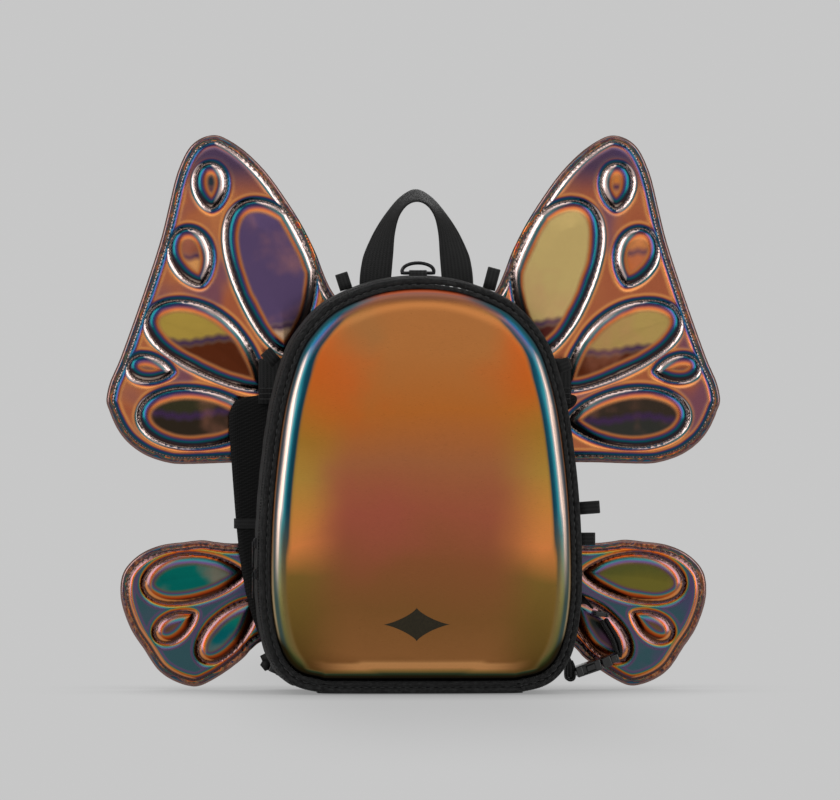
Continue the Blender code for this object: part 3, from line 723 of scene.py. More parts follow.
def stitches(name, paths, pitch, radius, share=0.62):
    """Thread stitches along paths of (place, outward normal), all in one mesh."""
    verts, faces = [], []
    sides = 5
    for path in paths:
        for (a, na), (b, nb) in zip(path, path[1:]):
            along = b - a
            if along.length < 1e-6:
                continue
            mid, up = (a + b) / 2, (na + nb).normalized()
            along = along.normalized()
            across = along.cross(up).normalized()
            half = pitch * share / 2
            start = len(verts)
            for at, size in ((-1.0, 0.35), (-0.72, 0.9), (0.72, 0.9), (1.0, 0.35)):
                sink = radius * (0.9 - 1.1 * abs(at) ** 3)
                for k in range(sides):
                    turn = 2 * pi * k / sides
                    verts.append(mid + along * (at * half) + up * (sink + radius * size * sin(turn))
                                 + across * (radius * size * cos(turn)))
            for ring in range(3):
                for k in range(sides):
                    i, j = start + ring * sides + k, start + ring * sides + (k + 1) % sides
                    faces.append((i, j, j + sides, i + sides))
            faces.append(tuple(start + k for k in range(sides)))
            faces.append(tuple(start + 3 * sides + k for k in range(sides)))
    return mesh_object(name, verts, faces, LOOKS["thread"])


def teardrop(tip, broad, width, roundness, bow, sign):
    """A closed teardrop outline from its tip to its broad end, mirrored for sign -1."""
    tip = Vector((tip[0] * sign, tip[1])) * MM
    broad = Vector((broad[0] * sign, broad[1])) * MM
    axis = broad - tip
    side = Vector((-axis.y, axis.x)).normalized() * sign
    peak = max(sin(t / 50) * sin(t / 100) ** roundness for t in range(1, 157))
    out = []
    for k in range(90):
        t = 2 * pi * k / 90
        share = (1 - cos(t)) / 2
        swell = sin(t) * abs(sin(t / 2)) ** roundness / peak * width / 2 * MM
        out.append(tip + axis * share + side * (swell - bow * MM * sin(pi * share)))
    if area(out) < 0:
        out.reverse()
    return out


# Film colours in the middle of each cell, split by a painted reflection of the studio horizon: the colour
# above it, below it, and the height in mm where they meet
CENTRES = {
    ("upper", "left"): [
        ((50, 62, 70), (226, 150, 90), 394), ((150, 84, 66), (236, 160, 96), 344),
        ((96, 78, 112), (226, 186, 150), 288), ((182, 152, 72), (94, 48, 30), 276),
        ((196, 128, 84), (150, 90, 80), 252), ((62, 60, 44), (54, 46, 38), 218),
    ],
    ("upper", "right"): [
        ((214, 130, 66), (226, 140, 90), 398), ((216, 132, 66), (206, 110, 60), 344),
        ((208, 180, 116), (84, 42, 38), 289), ((188, 158, 92), (92, 46, 28), 268),
        ((176, 88, 50), (120, 124, 62), 253), ((66, 56, 48), (58, 58, 54), 214),
    ],
    ("lower", "left"): [
        ((18, 112, 102), (16, 104, 96), 90), ((22, 108, 106), (44, 44, 40), 57),
        ((26, 122, 108), (20, 100, 104), 48),
    ],
    ("lower", "right"): [
        ((96, 96, 50), (112, 104, 48), 90), ((50, 110, 104), (110, 84, 60), 57),
        ((44, 48, 46), (70, 50, 66), 48),
    ],
}
# Painted colour of the reflected horizon itself, in the upper wings
REFLECTED_HORIZON = lit(72, 52, 84)  # where the two meet


def blend_of(a, b, share):
    """The colour a share of the way from a to b."""
    share = min(max(share, 0.0), 1.0)
    return tuple(x + (y - x) * share for x, y in zip(a, b))


def build_wing(rank, side):
    """One quilted wing: two skins, their thread and the foam between them."""
    sign = -1 if side == "left" else 1
    name = f"{rank}_{side}_wing"
    outline = resample(outline_of(f"{name}_front_skin"), 1.6 * MM)
    cells = [resample(teardrop(*cell, sign), 1.3 * MM)
             for cell in (UPPER_CELLS if rank == "upper" else LOWER_CELLS)]
    edge_seam = resample(inset(outline, EDGE_SEAM), 1.3 * MM)
    edge_tree = tree_of(resample(outline, 0.5 * MM))
    seam_points = resample(edge_seam, 0.4 * MM)
    for cell in cells:
        seam_points += resample(cell, 0.4 * MM)
    seam_tree = tree_of(seam_points)
    tints_and_horizon = CENTRES[rank, side]

    def zone_of(p):
        """0 on the rolled edge, 1 between the cells, 2 and on for the cells in turn."""
        if reach(edge_tree, p) < EDGE_SEAM - 0.05 * MM:
            return 0
        for k, cell in enumerate(cells):
            if inside(p, cell):
                return k + 2
        return 1

    def rise(p, zone, cell_rise, field_rise):
        """Height of the skin over its seams, and below zero where the edge rolls over."""
        if zone == 0:
            from_edge = reach(edge_tree, p)
            lip = sin(pi * min(1.0, from_edge / EDGE_SEAM))
            return EDGE_LIP * lip - EDGE_ROLL * (1 - dome(from_edge / EDGE_ROLL))
        gap = reach(seam_tree, p)
        if zone > 1:
            return cell_rise * (0.8 * dome(gap / CELL_DOME) + 0.2 * min(1.0, gap / CELL_CROWN))
        return field_rise * dome(gap / FIELD_DOME)

    spacing = 1.4 * MM
    seams = [edge_seam] + cells
    rolls = [resample(inset(outline, d * MM), 1.4 * MM) for d in (0.5, 1.2, 2.2, 3.6)]
    points, faces = triangulate(outline, seams + rolls, spacing)
    zones = [zone_of(p) for p in points]
    skins = []
    for label, y, way, rises in (
        ("front", SEAM_FRONT_Y, -1, (CELL_RISE, FIELD_RISE)),
        ("back", SEAM_BACK_Y, 1, (BACK_CELL_RISE, BACK_FIELD_RISE)),
    ):
        verts = [(p.x, y + way * rise(p, zone, *rises), p.y) for p, zone in zip(points, zones)]
        skins.append(mesh_object(f"{name}_{label}", verts, faces, LOOKS[f"{rank}_film"]))
        face(skins[-1], way)
    front, back = skins
    centres = []
    # Centre colours above and below the painted horizon reflection, rippled and blurred across it
    for p, zone in zip(points, zones):
        top, low, meet = tints_and_horizon[max(zone - 2, 0)]
        ripple = 2.2 * MM * sin(p.x * 95) + 0.5 * MM * sin(p.x * 700)
        level = (p.y - meet * MM + ripple) / HORIZON_BLUR
        colour = blend_of(lit(*low), lit(*top), (level + 1) / 2)
        if rank == "upper":
            colour = blend_of(REFLECTED_HORIZON, colour, abs(level))
        centres += colour
    gaps = [min(1.0, reach(seam_tree, p) / BAND_REACH) for p in points]
    depths = [min(1.0, reach(seam_tree, p) / CELL_REACH) for p in points]
    in_zone = [min(zone, 2) / 2 for zone in zones]
    hands = [sign] * len(points)
    for skin in skins:
        attributes = skin.data.attributes
        for key, values in (("gap", gaps), ("deep", depths), ("zone", in_zone), ("hand", hands)):
            attributes.new(key, "FLOAT", "POINT").data.foreach_set("value", values)
        attributes.new("centre", "FLOAT_COLOR", "POINT").data.foreach_set("color", centres)
    for label, y, out in (("front", SEAM_FRONT_Y, -1), ("back", SEAM_BACK_Y, 1)):
        paths = []
        for seam in seams:
            loop = resample(seam, STITCH_PITCH)
            paths.append([(Vector((p.x, y, p.y)), Vector((0, out, 0))) for p in loop + loop[:1]])
        place(stitches(f"{name}_{label}_thread", paths, STITCH_PITCH, 0.6 * MM), name, "webbing")
    place(front, name, "film", f"{name}_front_skin")
    place(back, name, "film", f"{name}_back_skin")
    paint(f"{name}_core", "foam")


def face(obj, way):
    """Makes a height field's faces look towards -Y or +Y."""
    total = sum(poly.normal.y * poly.area for poly in obj.data.polygons)
    if total * way < 0:
        obj.data.flip_normals()


# ---- Tapes, tubes and walls ---------------------------------------------------------------------

def loft(name, rings, mat, lengths=None, rounds=None):
    """Skins rings of equal count; UVs run along the path and round each ring, in metres.

    Webbing gives its own lengths and rounds and has ends. Any other path is closed.
    """
    count = len(rings[0])
    verts = [p for ring in rings for p in ring]
    has_ends = lengths is not None
    if not has_ends:
        lengths, rounds = [0.0], [0.0]
        for a, b in zip(rings, rings[1:]):
            lengths.append(lengths[-1] + (sum(b, Vector()) / count - sum(a, Vector()) / count).length)
        for k in range(count):
            rounds.append(rounds[-1] + (rings[0][(k + 1) % count] - rings[0][k]).length)
    faces, uvs = [], []
    for i in range(len(rings) - has_ends):
        j = (i + 1) % len(rings)
        u0 = lengths[i]
        u1 = lengths[j] if j else lengths[-1] + (lengths[1] - lengths[0])
        for k in range(count):
            m = (k + 1) % count
            faces.append((i * count + k, i * count + m, j * count + m, j * count + k))
            uvs.append([(u0, rounds[k]), (u0, rounds[k + 1]), (u1, rounds[k + 1]), (u1, rounds[k])])
    if has_ends:
        for ring, start in ((0, 0), (len(rings) - 1, (len(rings) - 1) * count)):
            faces.append(tuple(range(start, start + count)))
            uvs.append([(lengths[ring], rounds[k]) for k in range(count)])
    mesh = bpy.data.meshes.new(name)
    mesh.from_pydata([tuple(v) for v in verts], [], faces)
    layer = mesh.uv_layers.new(name="tape")
    layer.data.foreach_set("uv", [value for corners in uvs for uv in corners for value in uv])
    bm = bmesh.new()
    bm.from_mesh(mesh)
    bmesh.ops.recalc_face_normals(bm, faces=bm.faces)
    bm.to_mesh(mesh)
    bm.free()
    mesh.shade_smooth()
    mesh.materials.append(mat)
    return link(bpy.data.objects.new(name, mesh))


def tube(name, path, radius, mat, sides):
    """A round tube along a closed path of 3D points."""
    rings = []
    up = Vector((0, -1, 0))
    turns = [2 * pi * k / sides for k in range(sides)]
    for i, p in enumerate(path):
        side = (path[(i + 1) % len(path)] - path[i - 1]).cross(up).normalized() * radius
        rings.append([p + side * cos(turn) + up * (radius * sin(turn)) for turn in turns])
    return loft(name, rings, mat)


TAPE_SECTION = [(-1.0, 0.0), (-0.985, 0.6), (-0.9, 1.0), (-0.45, 1.0), (0.0, 1.0), (0.45, 1.0), (0.9, 1.0),
                (0.985, 0.6), (1.0, 0.0), (0.985, -0.6), (0.9, -1.0), (0.45, -1.0), (0.0, -1.0),
                (-0.45, -1.0), (-0.9, -1.0), (-0.985, -0.6)]


def webbing(name, rows, thickness):
    """Woven tape through rows of (edge, other edge), with rounded selvedges."""
    rings, lengths = [], [0.0]
    width = (Vector(rows[0][1]) - Vector(rows[0][0])).length
    centres = [(Vector(a) + Vector(b)) / 2 for a, b in rows]
    for i, (a, b) in enumerate(rows):
        a, b = Vector(a), Vector(b)
        along = centres[min(i + 1, len(rows) - 1)] - centres[max(i - 1, 0)]
        across = (b - a) / 2
        normal = along.cross(across).normalized() * (thickness / 2)
        rings.append([centres[i] + across * s + normal * t for s, t in TAPE_SECTION])
        if i:
            lengths.append(lengths[-1] + (centres[i] - centres[i - 1]).length)
    rounds = [0.0]
    for k, (s, _) in enumerate(TAPE_SECTION):
        nxt = TAPE_SECTION[(k + 1) % len(TAPE_SECTION)][0]
        rounds.append(rounds[-1] + abs(nxt - s) * width / 2 + 0.0001)
    return loft(name, rings, LOOKS["webbing"], lengths, rounds)


def tape(name, path, across, width, thickness, body, *nodes):
    """Webbing along a path with a fixed direction across, placed on its body."""
    half = Vector(across).normalized() * width / 2
    made = webbing(name, [(p - half, p + half) for p in path], thickness)
    place(made, body, "webbing", *nodes)


def solid(name, blocks, matrix, mat, bevel):
    """Rounded blocks as one piece, each given as (size, centre) in mm."""
    bm = bmesh.new()
    for size, centre in blocks:
        made = bmesh.ops.create_cube(bm, size=1.0)["verts"]
        stretch = Matrix.Diagonal((*(Vector(size) * MM), 1))
        bmesh.ops.transform(bm, matrix=Matrix.Translation(Vector(centre) * MM) @ stretch, verts=made)
    bmesh.ops.transform(bm, matrix=matrix, verts=bm.verts)
    mesh = bpy.data.meshes.new(name)
    bm.to_mesh(mesh)
    bm.free()
    mesh.materials.append(mat)
    obj = link(bpy.data.objects.new(name, mesh))
    mod = obj.modifiers.new("edges", "BEVEL")
    mod.width = bevel
    mod.segments = 3
    mod.limit_method = "ANGLE"
    mesh.shade_smooth()
    mesh.set_sharp_from_angle(angle=radians(60))
    return obj


# ---- Pack ---------------------------------------------------------------------------------------

PACK = resample(outline_of("side_gusset"), 2.2 * MM)
TOP_Z = max(p.y for p in PACK)


def ring_path(distance, y, step):
    """3D points round the pack at an inset and a depth."""
    return [Vector((p.x, y, max(p.y, 0.0))) for p in resample(inset(PACK, distance), step)]


def wall(name, y_front, y_back, distance, thickness, bulge):
    """A fabric wall that follows the pack's outline, slightly full between its seams."""
    outer = inset(PACK, distance)
    inner = inset(PACK, distance + thickness)
    shares = [k / 12 for k in range(13)]
    rings = []
    for o, i in zip(outer, inner):
        away = (o - i).normalized()
        ring = []
        for s in shares:
            swell = bulge * sin(pi * s) * (1 if o.y > 6 * MM else 0)
            ripple = 0.25 * MM * sin(o.y * 260 + s * 9) * sin(pi * s) * (1 if o.y > 12 * MM else 0)
            p = o + away * (swell + ripple)
            ring.append(Vector((p.x, y_front + (y_back - y_front) * s, max(p.y, 0.0))))
        for s in reversed(shares):
            ring.append(Vector((i.x, y_front + (y_back - y_front) * s, i.y)))
        rings.append(ring)
    return loft(name, rings, LOOKS["fabric"])


def build_front():
    """The moulded front, its welts, stitches and star."""
    low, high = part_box("front_shell")
    edge_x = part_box("side_gusset")[1].x
    rim_inset = edge_x - high.x
    base_y = high.y - 0.1 * MM
    crown_rise = (base_y - low.y) - RIM_RISE
    lift = low.z - rim_inset
    rim = shrink(PACK, rim_inset - TUCK, 2.0 * MM)
    rim = resample([p + Vector((0, lift * (1 - p.y / TOP_Z))) for p in rim], 1.5 * MM)
    rim_tree = tree_of(resample(rim, 0.4 * MM))
    centre = Vector((0, (low.z + high.z) / 2 - 4 * MM))

    def depth(p):
        gap = reach(rim_tree, p)
        out = p - centre
        far = min(1.0, sqrt((out.x / (high.x * 0.95)) ** 2 + (out.y / ((high.z - low.z) * 0.5)) ** 2))
        return base_y - RIM_RISE * dome(gap / RIM_REACH) - crown_rise * (1 - far**2)

    insets = (0.6, 1.4, 2.4, 3.6, 5.0, 6.6, 8.4, 10.4, 12.6, 15.0, 17.5)
    rings = [shrink(rim, d * MM, 1.6 * MM) for d in insets]
    spacing = 2.4 * MM
    shell = field("moulded_front", rim, rings, spacing, depth, LOOKS["front"])
    face(shell, -1)
    thick = shell.modifiers.new("thickness", "SOLIDIFY")
    thick.thickness = 1.0 * MM
    thick.offset = -1.0
    place(shell, "lid", "film", "front_shell")

    star_low, star_high, middle = box_of("emblem")
    half = (star_high - star_low) / 2
    points = []
    for k in range(64):
        x, z = (copysign(abs(value) ** 2.6, value) for value in (cos(2 * pi * k / 64), sin(2 * pi * k / 64)))
        points.append(Vector((middle.x + half.x * x, middle.z + half.z * z)))
    star_points, star_faces = triangulate(points, [], 1.5 * MM)
    bpy.context.view_layer.update()
    cage = []
    for p in star_points:
        hit, spot, *_ = shell.ray_cast(Vector((p.x, -0.2, p.y)), Vector((0, 1, 0)))
        cage.append((p.x, (spot.y if hit else star_low.y) - 0.45 * MM, p.y))
    star = mesh_object("star_print", cage, star_faces, LOOKS["ink"])
    face(star, -1)
    place(star, "lid", "ink", "emblem")

    for name in ("outer_welt", "inner_welt"):
        low, high, mid = box_of(name)
        radius = (high.y - low.y) / 2
        path = ring_path(edge_x - high.x + radius, mid.y, 1.6 * MM)
        place(tube(name + "_cord", path, radius, LOOKS["fabric"], 14), "lid", "fabric", name)
    pitch = 6.5 * MM
    thread_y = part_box("outer_welt")[0].y + 1.1 * MM
    path = ring_path(edge_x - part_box("inner_welt")[1].x - 0.1 * MM, thread_y, pitch)
    run = [(p, Vector((0, -1, 0))) for p in path + path[:1]]
    place(stitches("welt_thread", [run], pitch, 0.45 * MM), "lid", "webbing")
    low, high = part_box("lid_band")
    band = wall("lid_wall", low.y, high.y, edge_x - high.x, 1.4 * MM, 0.0)
    place(band, "lid", "fabric", "lid_band")


def build_body():
    """Gusset, binding and zip."""
    low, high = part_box("side_gusset")
    gusset = wall("gusset", low.y, high.y, 0.0, 1.6 * MM, 1.2 * MM)
    place(gusset, "pack", "fabric", "side_gusset")
    low, high, mid = box_of("rear_binding")
    radius = (high.y - low.y) / 2
    path = ring_path(radius, mid.y, 2.2 * MM)
    binding = tube("rear_binding_tape", path, radius, LOOKS["webbing"], 12)
    place(binding, "pack", "webbing", "rear_binding")
    for node, body in (("lid_zip_tape", "lid"), ("body_zip_tape", "pack")):
        paint(node, "fabric")
        low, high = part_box(node)
        y0, y1 = (low.y + 1.0 * MM, high.y) if body == "lid" else (low.y, high.y - 1.0 * MM)
        teeth = []
        for p in ring_path(0.9 * MM, 0.0, 2.4 * MM):
            if p.z > 2 * MM:
                away = Vector((p.x, 0, p.z - TOP_Z * 0.45)).normalized()
                teeth.append([(Vector((p.x, y0, p.z)), away), (Vector((p.x, y1, p.z)), away)])
        coil = stitches(node + "_coil", teeth, y1 - y0, 0.75 * MM, 1.0)
        coil.data.materials[0] = LOOKS["plastic"]
        place(coil, body, "plastic")


def paint_nodes():
    """Better materials on the CAD nodes that stay."""
    for node, look in (("lid_lining", "fabric"), ("back_panel", "fabric"), ("inner_sleeve", "fabric"),
                       ("frame_sheet", "foam"), ("wing_spine", "webbing")):
        paint(node, look)


# The handle's left half: both edges in (x, z), and how far they lean apart in y, all in mm
HANDLE_OUTER = [
    (-45, 318.5), (-44.6, 326.5), (-43.5, 335), (-41, 345), (-33.5, 361), (-23.5, 376), (-12, 389), (0, 395),
]
HANDLE_INNER = [
    (-20, 323.5), (-19.6, 328), (-19, 335), (-18.2, 345), (-17, 361), (-14, 374), (-8, 382.5), (0, 385.5),
]
HANDLE_LEAN = [0, 0, 0.4, 1.5, 4, 7.5, 10.5, 11.5]


def build_handle():
    """Haul handle and D-ring."""
    mid = box_of("haul_handle")[2]
    edges = []
    for edge, way in ((HANDLE_OUTER, 1), (HANDLE_INNER, -1)):
        half = [(x * MM, mid.y + way * back * MM, z * MM) for (x, z), back in zip(edge, HANDLE_LEAN)]
        edges.append(smooth_open(half + [(-x, y, z) for x, y, z in reversed(half[:-1])], 6))
    handle = webbing("haul_handle_tape", list(zip(*edges)), 1.8 * MM)
    place(handle, "haul_handle", "webbing", "haul_handle")
    low, high, mid = box_of("d_ring")
    radius = (high.y - low.y) / 2
    bar_z = low.z + radius
    half = high.x - radius
    rise = high.z - radius - bar_z
    lift = 0.3 * MM  # keeps the wire off the gusset
    arc = []
    for k in range(29):
        turn = pi * k / 28
        arc.append(Vector((half * cos(turn), mid.y, bar_z + lift + rise * sin(turn) ** 0.8)))
    arc += [Vector((half * (k / 7 - 1), mid.y, bar_z + lift)) for k in range(1, 14)]
    ring = tube("d_ring_wire", arc, radius - 0.2 * MM, LOOKS["metal"], 14)
    place(ring, "d_ring", "metal", "d_ring")


LOOPS = (  # name, foot (x, z) in mm, outward angle, length and depth in mm
    ("loop_top_left", -56, 316.2, 108, 13, 8),
    ("loop_top_right", 56, 316.2, 75, 17, 8),
    ("loop_upper_left", -110.3, 258.2, 132, 12.5, 30),
    ("loop_upper_right", 110.2, 254, 22, 12, 30),
    ("loop_mid_right", 126.4, 144, 4, 17, 12),
    ("loop_low_right", 127.8, 120, 0, 12, 12),
)


def hairpin(base, out, length, spread):
    """A folded path out from base and back."""
    out, spread = Vector(out).normalized(), Vector(spread)
    radius = spread.length
    tip = base + out * (length - radius)
    path = [base - spread, base - spread + out * (length - radius) * 0.5]
    for k in range(11):
        angle = -pi / 2 + pi * k / 10
        path.append(tip + out * (radius * cos(angle)) + spread * sin(angle))
    path += [base + spread + out * (length - radius) * 0.5, base + spread]
    return path


def build_loops():
    """Lash loops and the D-ring's tab."""
    for name, x, z, angle, length, depth in LOOPS:
        out = Vector((cos(radians(angle)), 0, sin(radians(angle))))
        across = Vector((-out.z, 0, out.x))
        path = hairpin(Vector((x, depth, z)) * MM, out, length * MM, (0, 1.6 * MM, 0))
        tape(name + "_tape", path, across, 10 * MM, 1.0 * MM, "pack", name)
    low, high, mid = box_of("d_ring_tab")
    spread = (0, (high.y - low.y) / 2 - 0.4 * MM, 0)
    path = hairpin(Vector((0, mid.y, low.z)), (0, 0, 1), high.z - low.z - 0.4 * MM, spread)
    tape("d_ring_tab_tape", path, (1, 0, 0), high.x - low.x, 0.8 * MM, "pack", "d_ring_tab")


# ---- Straps -------------------------------------------------------------------------------------

def pad_pair(name, outline, y_front, y_back, looks, spacing):
    """The two puffed faces of a pad, meeting at its edge."""
    edge = tree_of(resample(outline, 0.6 * MM))
    mid, half = (y_front + y_back) / 2, (y_back - y_front) / 2

    def rise(p):
        return half * dome(reach(edge, p) / (4.5 * MM))

    front = field(f"{name}_face", outline, [], spacing, lambda p: mid - rise(p), looks[0])
    back = field(f"{name}_back", outline, [], spacing, lambda p: mid + rise(p), looks[1])
    face(front, -1)
    face(back, 1)
    return front, back


def build_straps():
    """Shoulder strap pads, their tabs and the keeper band."""
    for side, body in (("left", "left_strap"), ("right", "right_strap")):
        node = f"{side}_strap_pad"
        low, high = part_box(node)
        outline = resample(inset(outline_of(node), -2.4 * MM), 2.0 * MM)
        front, back = pad_pair(node, outline, low.y, high.y, (LOOKS["mesh"], LOOKS["fabric"]), 2.0 * MM)
        place(front, body, "mesh", node)
        place(back, body, "fabric")
        node = f"{side}_strap_tab"
        low, high, mid = box_of(node)
        path = hairpin(Vector((mid.x, mid.y, low.z)), (0, 0, 1), high.z - low.z, (0, 1.5 * MM, 0))
        tape(node + "_tape", path, (1, 0, 0), high.x - low.x, 1.5 * MM, "pack", node)
        tacks = []
        for k in range(3):
            start = Vector((low.x + 1 * MM, low.y - 0.02 * MM, low.z + (4 + 4.2 * k) * MM))
            step = Vector(((high.x - low.x - 2 * MM) / 16, 0, 0))
            tacks.append([(start + step * n, Vector((0, -1, 0))) for n in range(17)])
        tack = stitches(f"{side}_strap_tack", tacks, 1.5 * MM, 0.5 * MM, 0.95)
        place(tack, "pack", "webbing")
    low, high, mid = box_of("left_keeper")
    t, round_by = 0.35 * MM, 2 * MM
    left, right = low.x + 3.6 * MM, high.x - t
    ring = []
    for x, y in ((left, high.y - round_by), (left, low.y + round_by), (left + round_by, low.y + t),
                 (right - round_by, low.y + t), (right, low.y + round_by), (right, high.y - round_by),
                 (right - round_by, high.y - t), (left + round_by, high.y - t)):
        ring.append(Vector((x, y, mid.z - 2.5 * MM)))
    path = even(smooth_open(ring + ring[:1], 6), 2 * MM)
    width = 0.8 * (high.z - low.z)
    tape("left_keeper_tape", path, (0, 0, 1), width, 0.7 * MM, "left_strap", "left_keeper")


LEFT_WEB = (  # the folded webbing end beyond the left buckle: its two plies, (x, z) in mm
    [(-122.2, 26.8), (-116.7, 29.7), (-107, 27), (-107, 24.8), (-112.3, 23.8), (-115.6, 21.5),
     (-120.3, 22.4)],
    [(-120.4, 22.9), (-113.4, 23.4), (-114.0, 20.4), (-115.2, 16.0), (-118.3, 14.9), (-122.2, 19.7)],
)


def flat_tab(outline, y, thickness):
    """A flat piece of webbing in the XZ plane."""
    points = [Vector(p) * MM for p in outline]
    verts = [(p.x, y + way * thickness / 2, p.y) for way in (-1, 1) for p in points]
    n = len(points)
    faces = [tuple(range(n)), tuple(range(2 * n - 1, n - 1, -1))]
    faces += [(k, n + k, n + (k + 1) % n, (k + 1) % n) for k in range(n)]
    return mesh_object("flat_tab", verts, faces, LOOKS["webbing"])


SOCKET = (  # blocks of a buckle's female half along its X, as (size, centre) in mm
    ((5.4, 25, 8.4), (2.7, 0, 0)), ((17.5, 25, 1.5), (10.6, 0, 3.5)), ((17.5, 25, 1.5), (10.6, 0, -3.5)),
    ((5.2, 25, 8.6), (17.8, 0, 0)), ((14, 2.2, 7.6), (9.4, 8.2, 0)), ((14, 2.2, 7.6), (9.4, -8.2, 0)),
    ((2.2, 25, 3.6), (-0.9, 0, 0)),
)
PLUG = (  # and of its male half
    ((7.4, 25, 8.0), (25.4, 0, 0)), ((12, 2.4, 4.8), (14.5, 11.0, 0)), ((12, 2.4, 4.8), (14.5, -11.0, 0)),
    ((5, 25, 2.4), (31.6, 0, 2.3)), ((2.4, 25, 6.4), (34.2, 0, 0.2)), ((5, 3, 5.4), (31.4, 11, 0)),
    ((5, 3, 5.4), (31.4, -11, 0)), ((12, 5, 2.6), (15.5, 0, 0)),
)
GLIDE = (
    ((11.6, 2.8, 3.8), (0, 11.1, 0)), ((11.6, 2.8, 3.8), (0, -11.1, 0)), ((3.0, 25, 3.8), (-4.5, 0, 0)),
    ((3.0, 25, 3.8), (4.5, 0, 0)), ((2.8, 24, 4.2), (0, 0, 0.8)),
)
TAIL = (  # the right strap's lower webbing: centre (x, y, z) in mm, and its width's turn from upright
    (56, 53.5, 46, 0), (90, 53.5, 58, 0), (112, 53.5, 68, 0), (122, 53.5, 71.5, 10), (129, 49, 71.8, 50),
    (135, 42, 69.6, 80), (139.8, 38, 64.6, 90),
)


def bend(points, y, steps):
    """A smooth path through (x, z) points in mm, at one depth."""
    return smooth_open([Vector((x * MM, y, z * MM)) for x, z in points], steps)


def build_buckles():
    """Side-release buckles at the bottom corners."""
    for side, anchor, turn in (("right", RIGHT_ANCHOR, RIGHT_TURN), ("left", LEFT_ANCHOR, LEFT_TURN)):
        mid = box_of(f"{side}_buckle_female")[2]
        base = Vector((anchor[0] * MM, mid.y, anchor[1] * MM))
        matrix = Matrix.Translation(base) @ Matrix.Rotation(-turn, 4, "Y")
        for half, part, blocks, body in (
            ("female", "socket", SOCKET, "pack"), ("male", "plug", PLUG, f"{side}_buckle"),
        ):
            made = solid(f"{side}_buckle_{part}", blocks, matrix, LOOKS["plastic"], 0.7 * MM)
            place(made, body, "plastic", f"{side}_buckle_{half}")


def build_right_webbing():
    """The right buckle's two plies of webbing and its anchor."""
    y, body, across = RIGHT_BUCKLE_Y, "right_buckle", (0, 1, 0)
    start = (RIGHT_ANCHOR[0] + 36.3 * cos(RIGHT_TURN), RIGHT_ANCHOR[1] + 36.3 * sin(RIGHT_TURN))
    middle = bend([start, (161.8, 31), (160.4, 38), (157.6, 44), (154, 50), (150.4, 56)], y, 6)
    inner = [p + Vector((-1, 0, -0.4)) * 3.4 * MM * min(1.0, k / 8) for k, p in enumerate(middle)]
    tape("right_buckle_tape", middle, across, WEB_W, 2.8 * MM, body, "right_buckle_webbing")
    tape("right_buckle_ply", inner[3:], across, WEB_W - 1 * MM, 2.8 * MM, body)
    path = bend([(117.8, 29), (119.2, 22), (119, 14), (119.6, 9.4), (122, 8.2), (124.6, 9.6), (125, 14),
                 (124.4, 19), (122.8, 23)], y, 4)
    tape("right_anchor_tape", path, across, WEB_W, 2.4 * MM, "pack", "right_corner_anchor")
    path = bend([(120.6, 25), (121.8, 19), (122, 10.2)], y, 4)
    tape("right_anchor_ply", path, across, WEB_W - 0.6 * MM, 3.2 * MM, "pack")


def build_left_webbing():
    """The left buckle's anchor and its folded webbing end."""
    low, high, mid = box_of("left_corner_anchor")
    path = [Vector((high.x, mid.y, low.z + 0.9 * MM)), mid, Vector((low.x, mid.y, high.z - 0.9 * MM))]
    tape("left_anchor_tape", smooth_open(path, 4), (0, 1, 0), WEB_W, 1.4 * MM, "pack", "left_corner_anchor")
    upper, lower = (flat_tab(ply, y * MM, 1.5 * MM) for ply, y in zip(LEFT_WEB, (54.5, 53.4)))
    place(upper, "left_buckle", "webbing", "left_buckle_webbing")
    place(lower, "left_buckle", "webbing")


def build_tail():
    """The right strap's lower webbing and its tri-glide."""
    mid = box_of("tri_glide")[2]
    matrix = Matrix.Translation(mid) @ Matrix.Rotation(radians(8), 4, "Y")
    glide = solid("tri_glide_frame", GLIDE, matrix, LOOKS["plastic"], 0.8 * MM)
    place(glide, "right_buckle", "plastic", "tri_glide")
    edges = []
    for way in (-1, 1):
        edge = []
        for x, y, z, turn in TAIL:
            half = Vector((0, -sin(radians(turn)), cos(radians(turn)))) * WEB_W / 2
            edge.append(Vector((x, y, z)) * MM + half * way)
        edges.append(smooth_open(edge, 5))
    tail = webbing("right_strap_tail_tape", list(zip(*edges)), 1.4 * MM)
    place(tail, "right_buckle", "webbing", "right_strap_tail")


def build_back():
    """Air-mesh pads on the back panel, the wing spine and its links."""
    for node in ("back_pad_upper", "back_pad_lower"):
        low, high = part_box(node)
        radius = 9 * MM
        left, right, bottom, top = low.x + radius, high.x - radius, low.z + radius, high.z - radius
        outline = []
        for k, corner in enumerate(((left, bottom), (right, bottom), (right, top), (left, top))):
            for n in range(7):
                t = radians(180 + 90 * k + 15 * n)
                outline.append(Vector(corner) + Vector((cos(t), sin(t))) * radius)
        outline = resample(outline, 2.5 * MM)
        front, back = pad_pair(node, outline, low.y, high.y, (LOOKS["fabric"], LOOKS["mesh"]), 3 * MM)
        place(back, "pack", "mesh", node)
        place(front, "pack", "fabric")
    low, high, mid = box_of("wing_spine")
    path = [Vector((0, mid.y, low.z + (high.z - low.z) * k / 60)) for k in range(61)]
    tape("wing_spine_tape", path, (1, 0, 0), high.x - low.x, high.y - low.y, "pack", "wing_spine")
    for node in ("wing_link_upper", "wing_link_lower"):
        low, high, mid = box_of(node)
        path = [Vector((0, low.y + (high.y - low.y) * k / 8, mid.z)) for k in range(9)]
        tape(node + "_tape", path, (1, 0, 0), high.x - low.x, high.z - low.z, "pack", node)


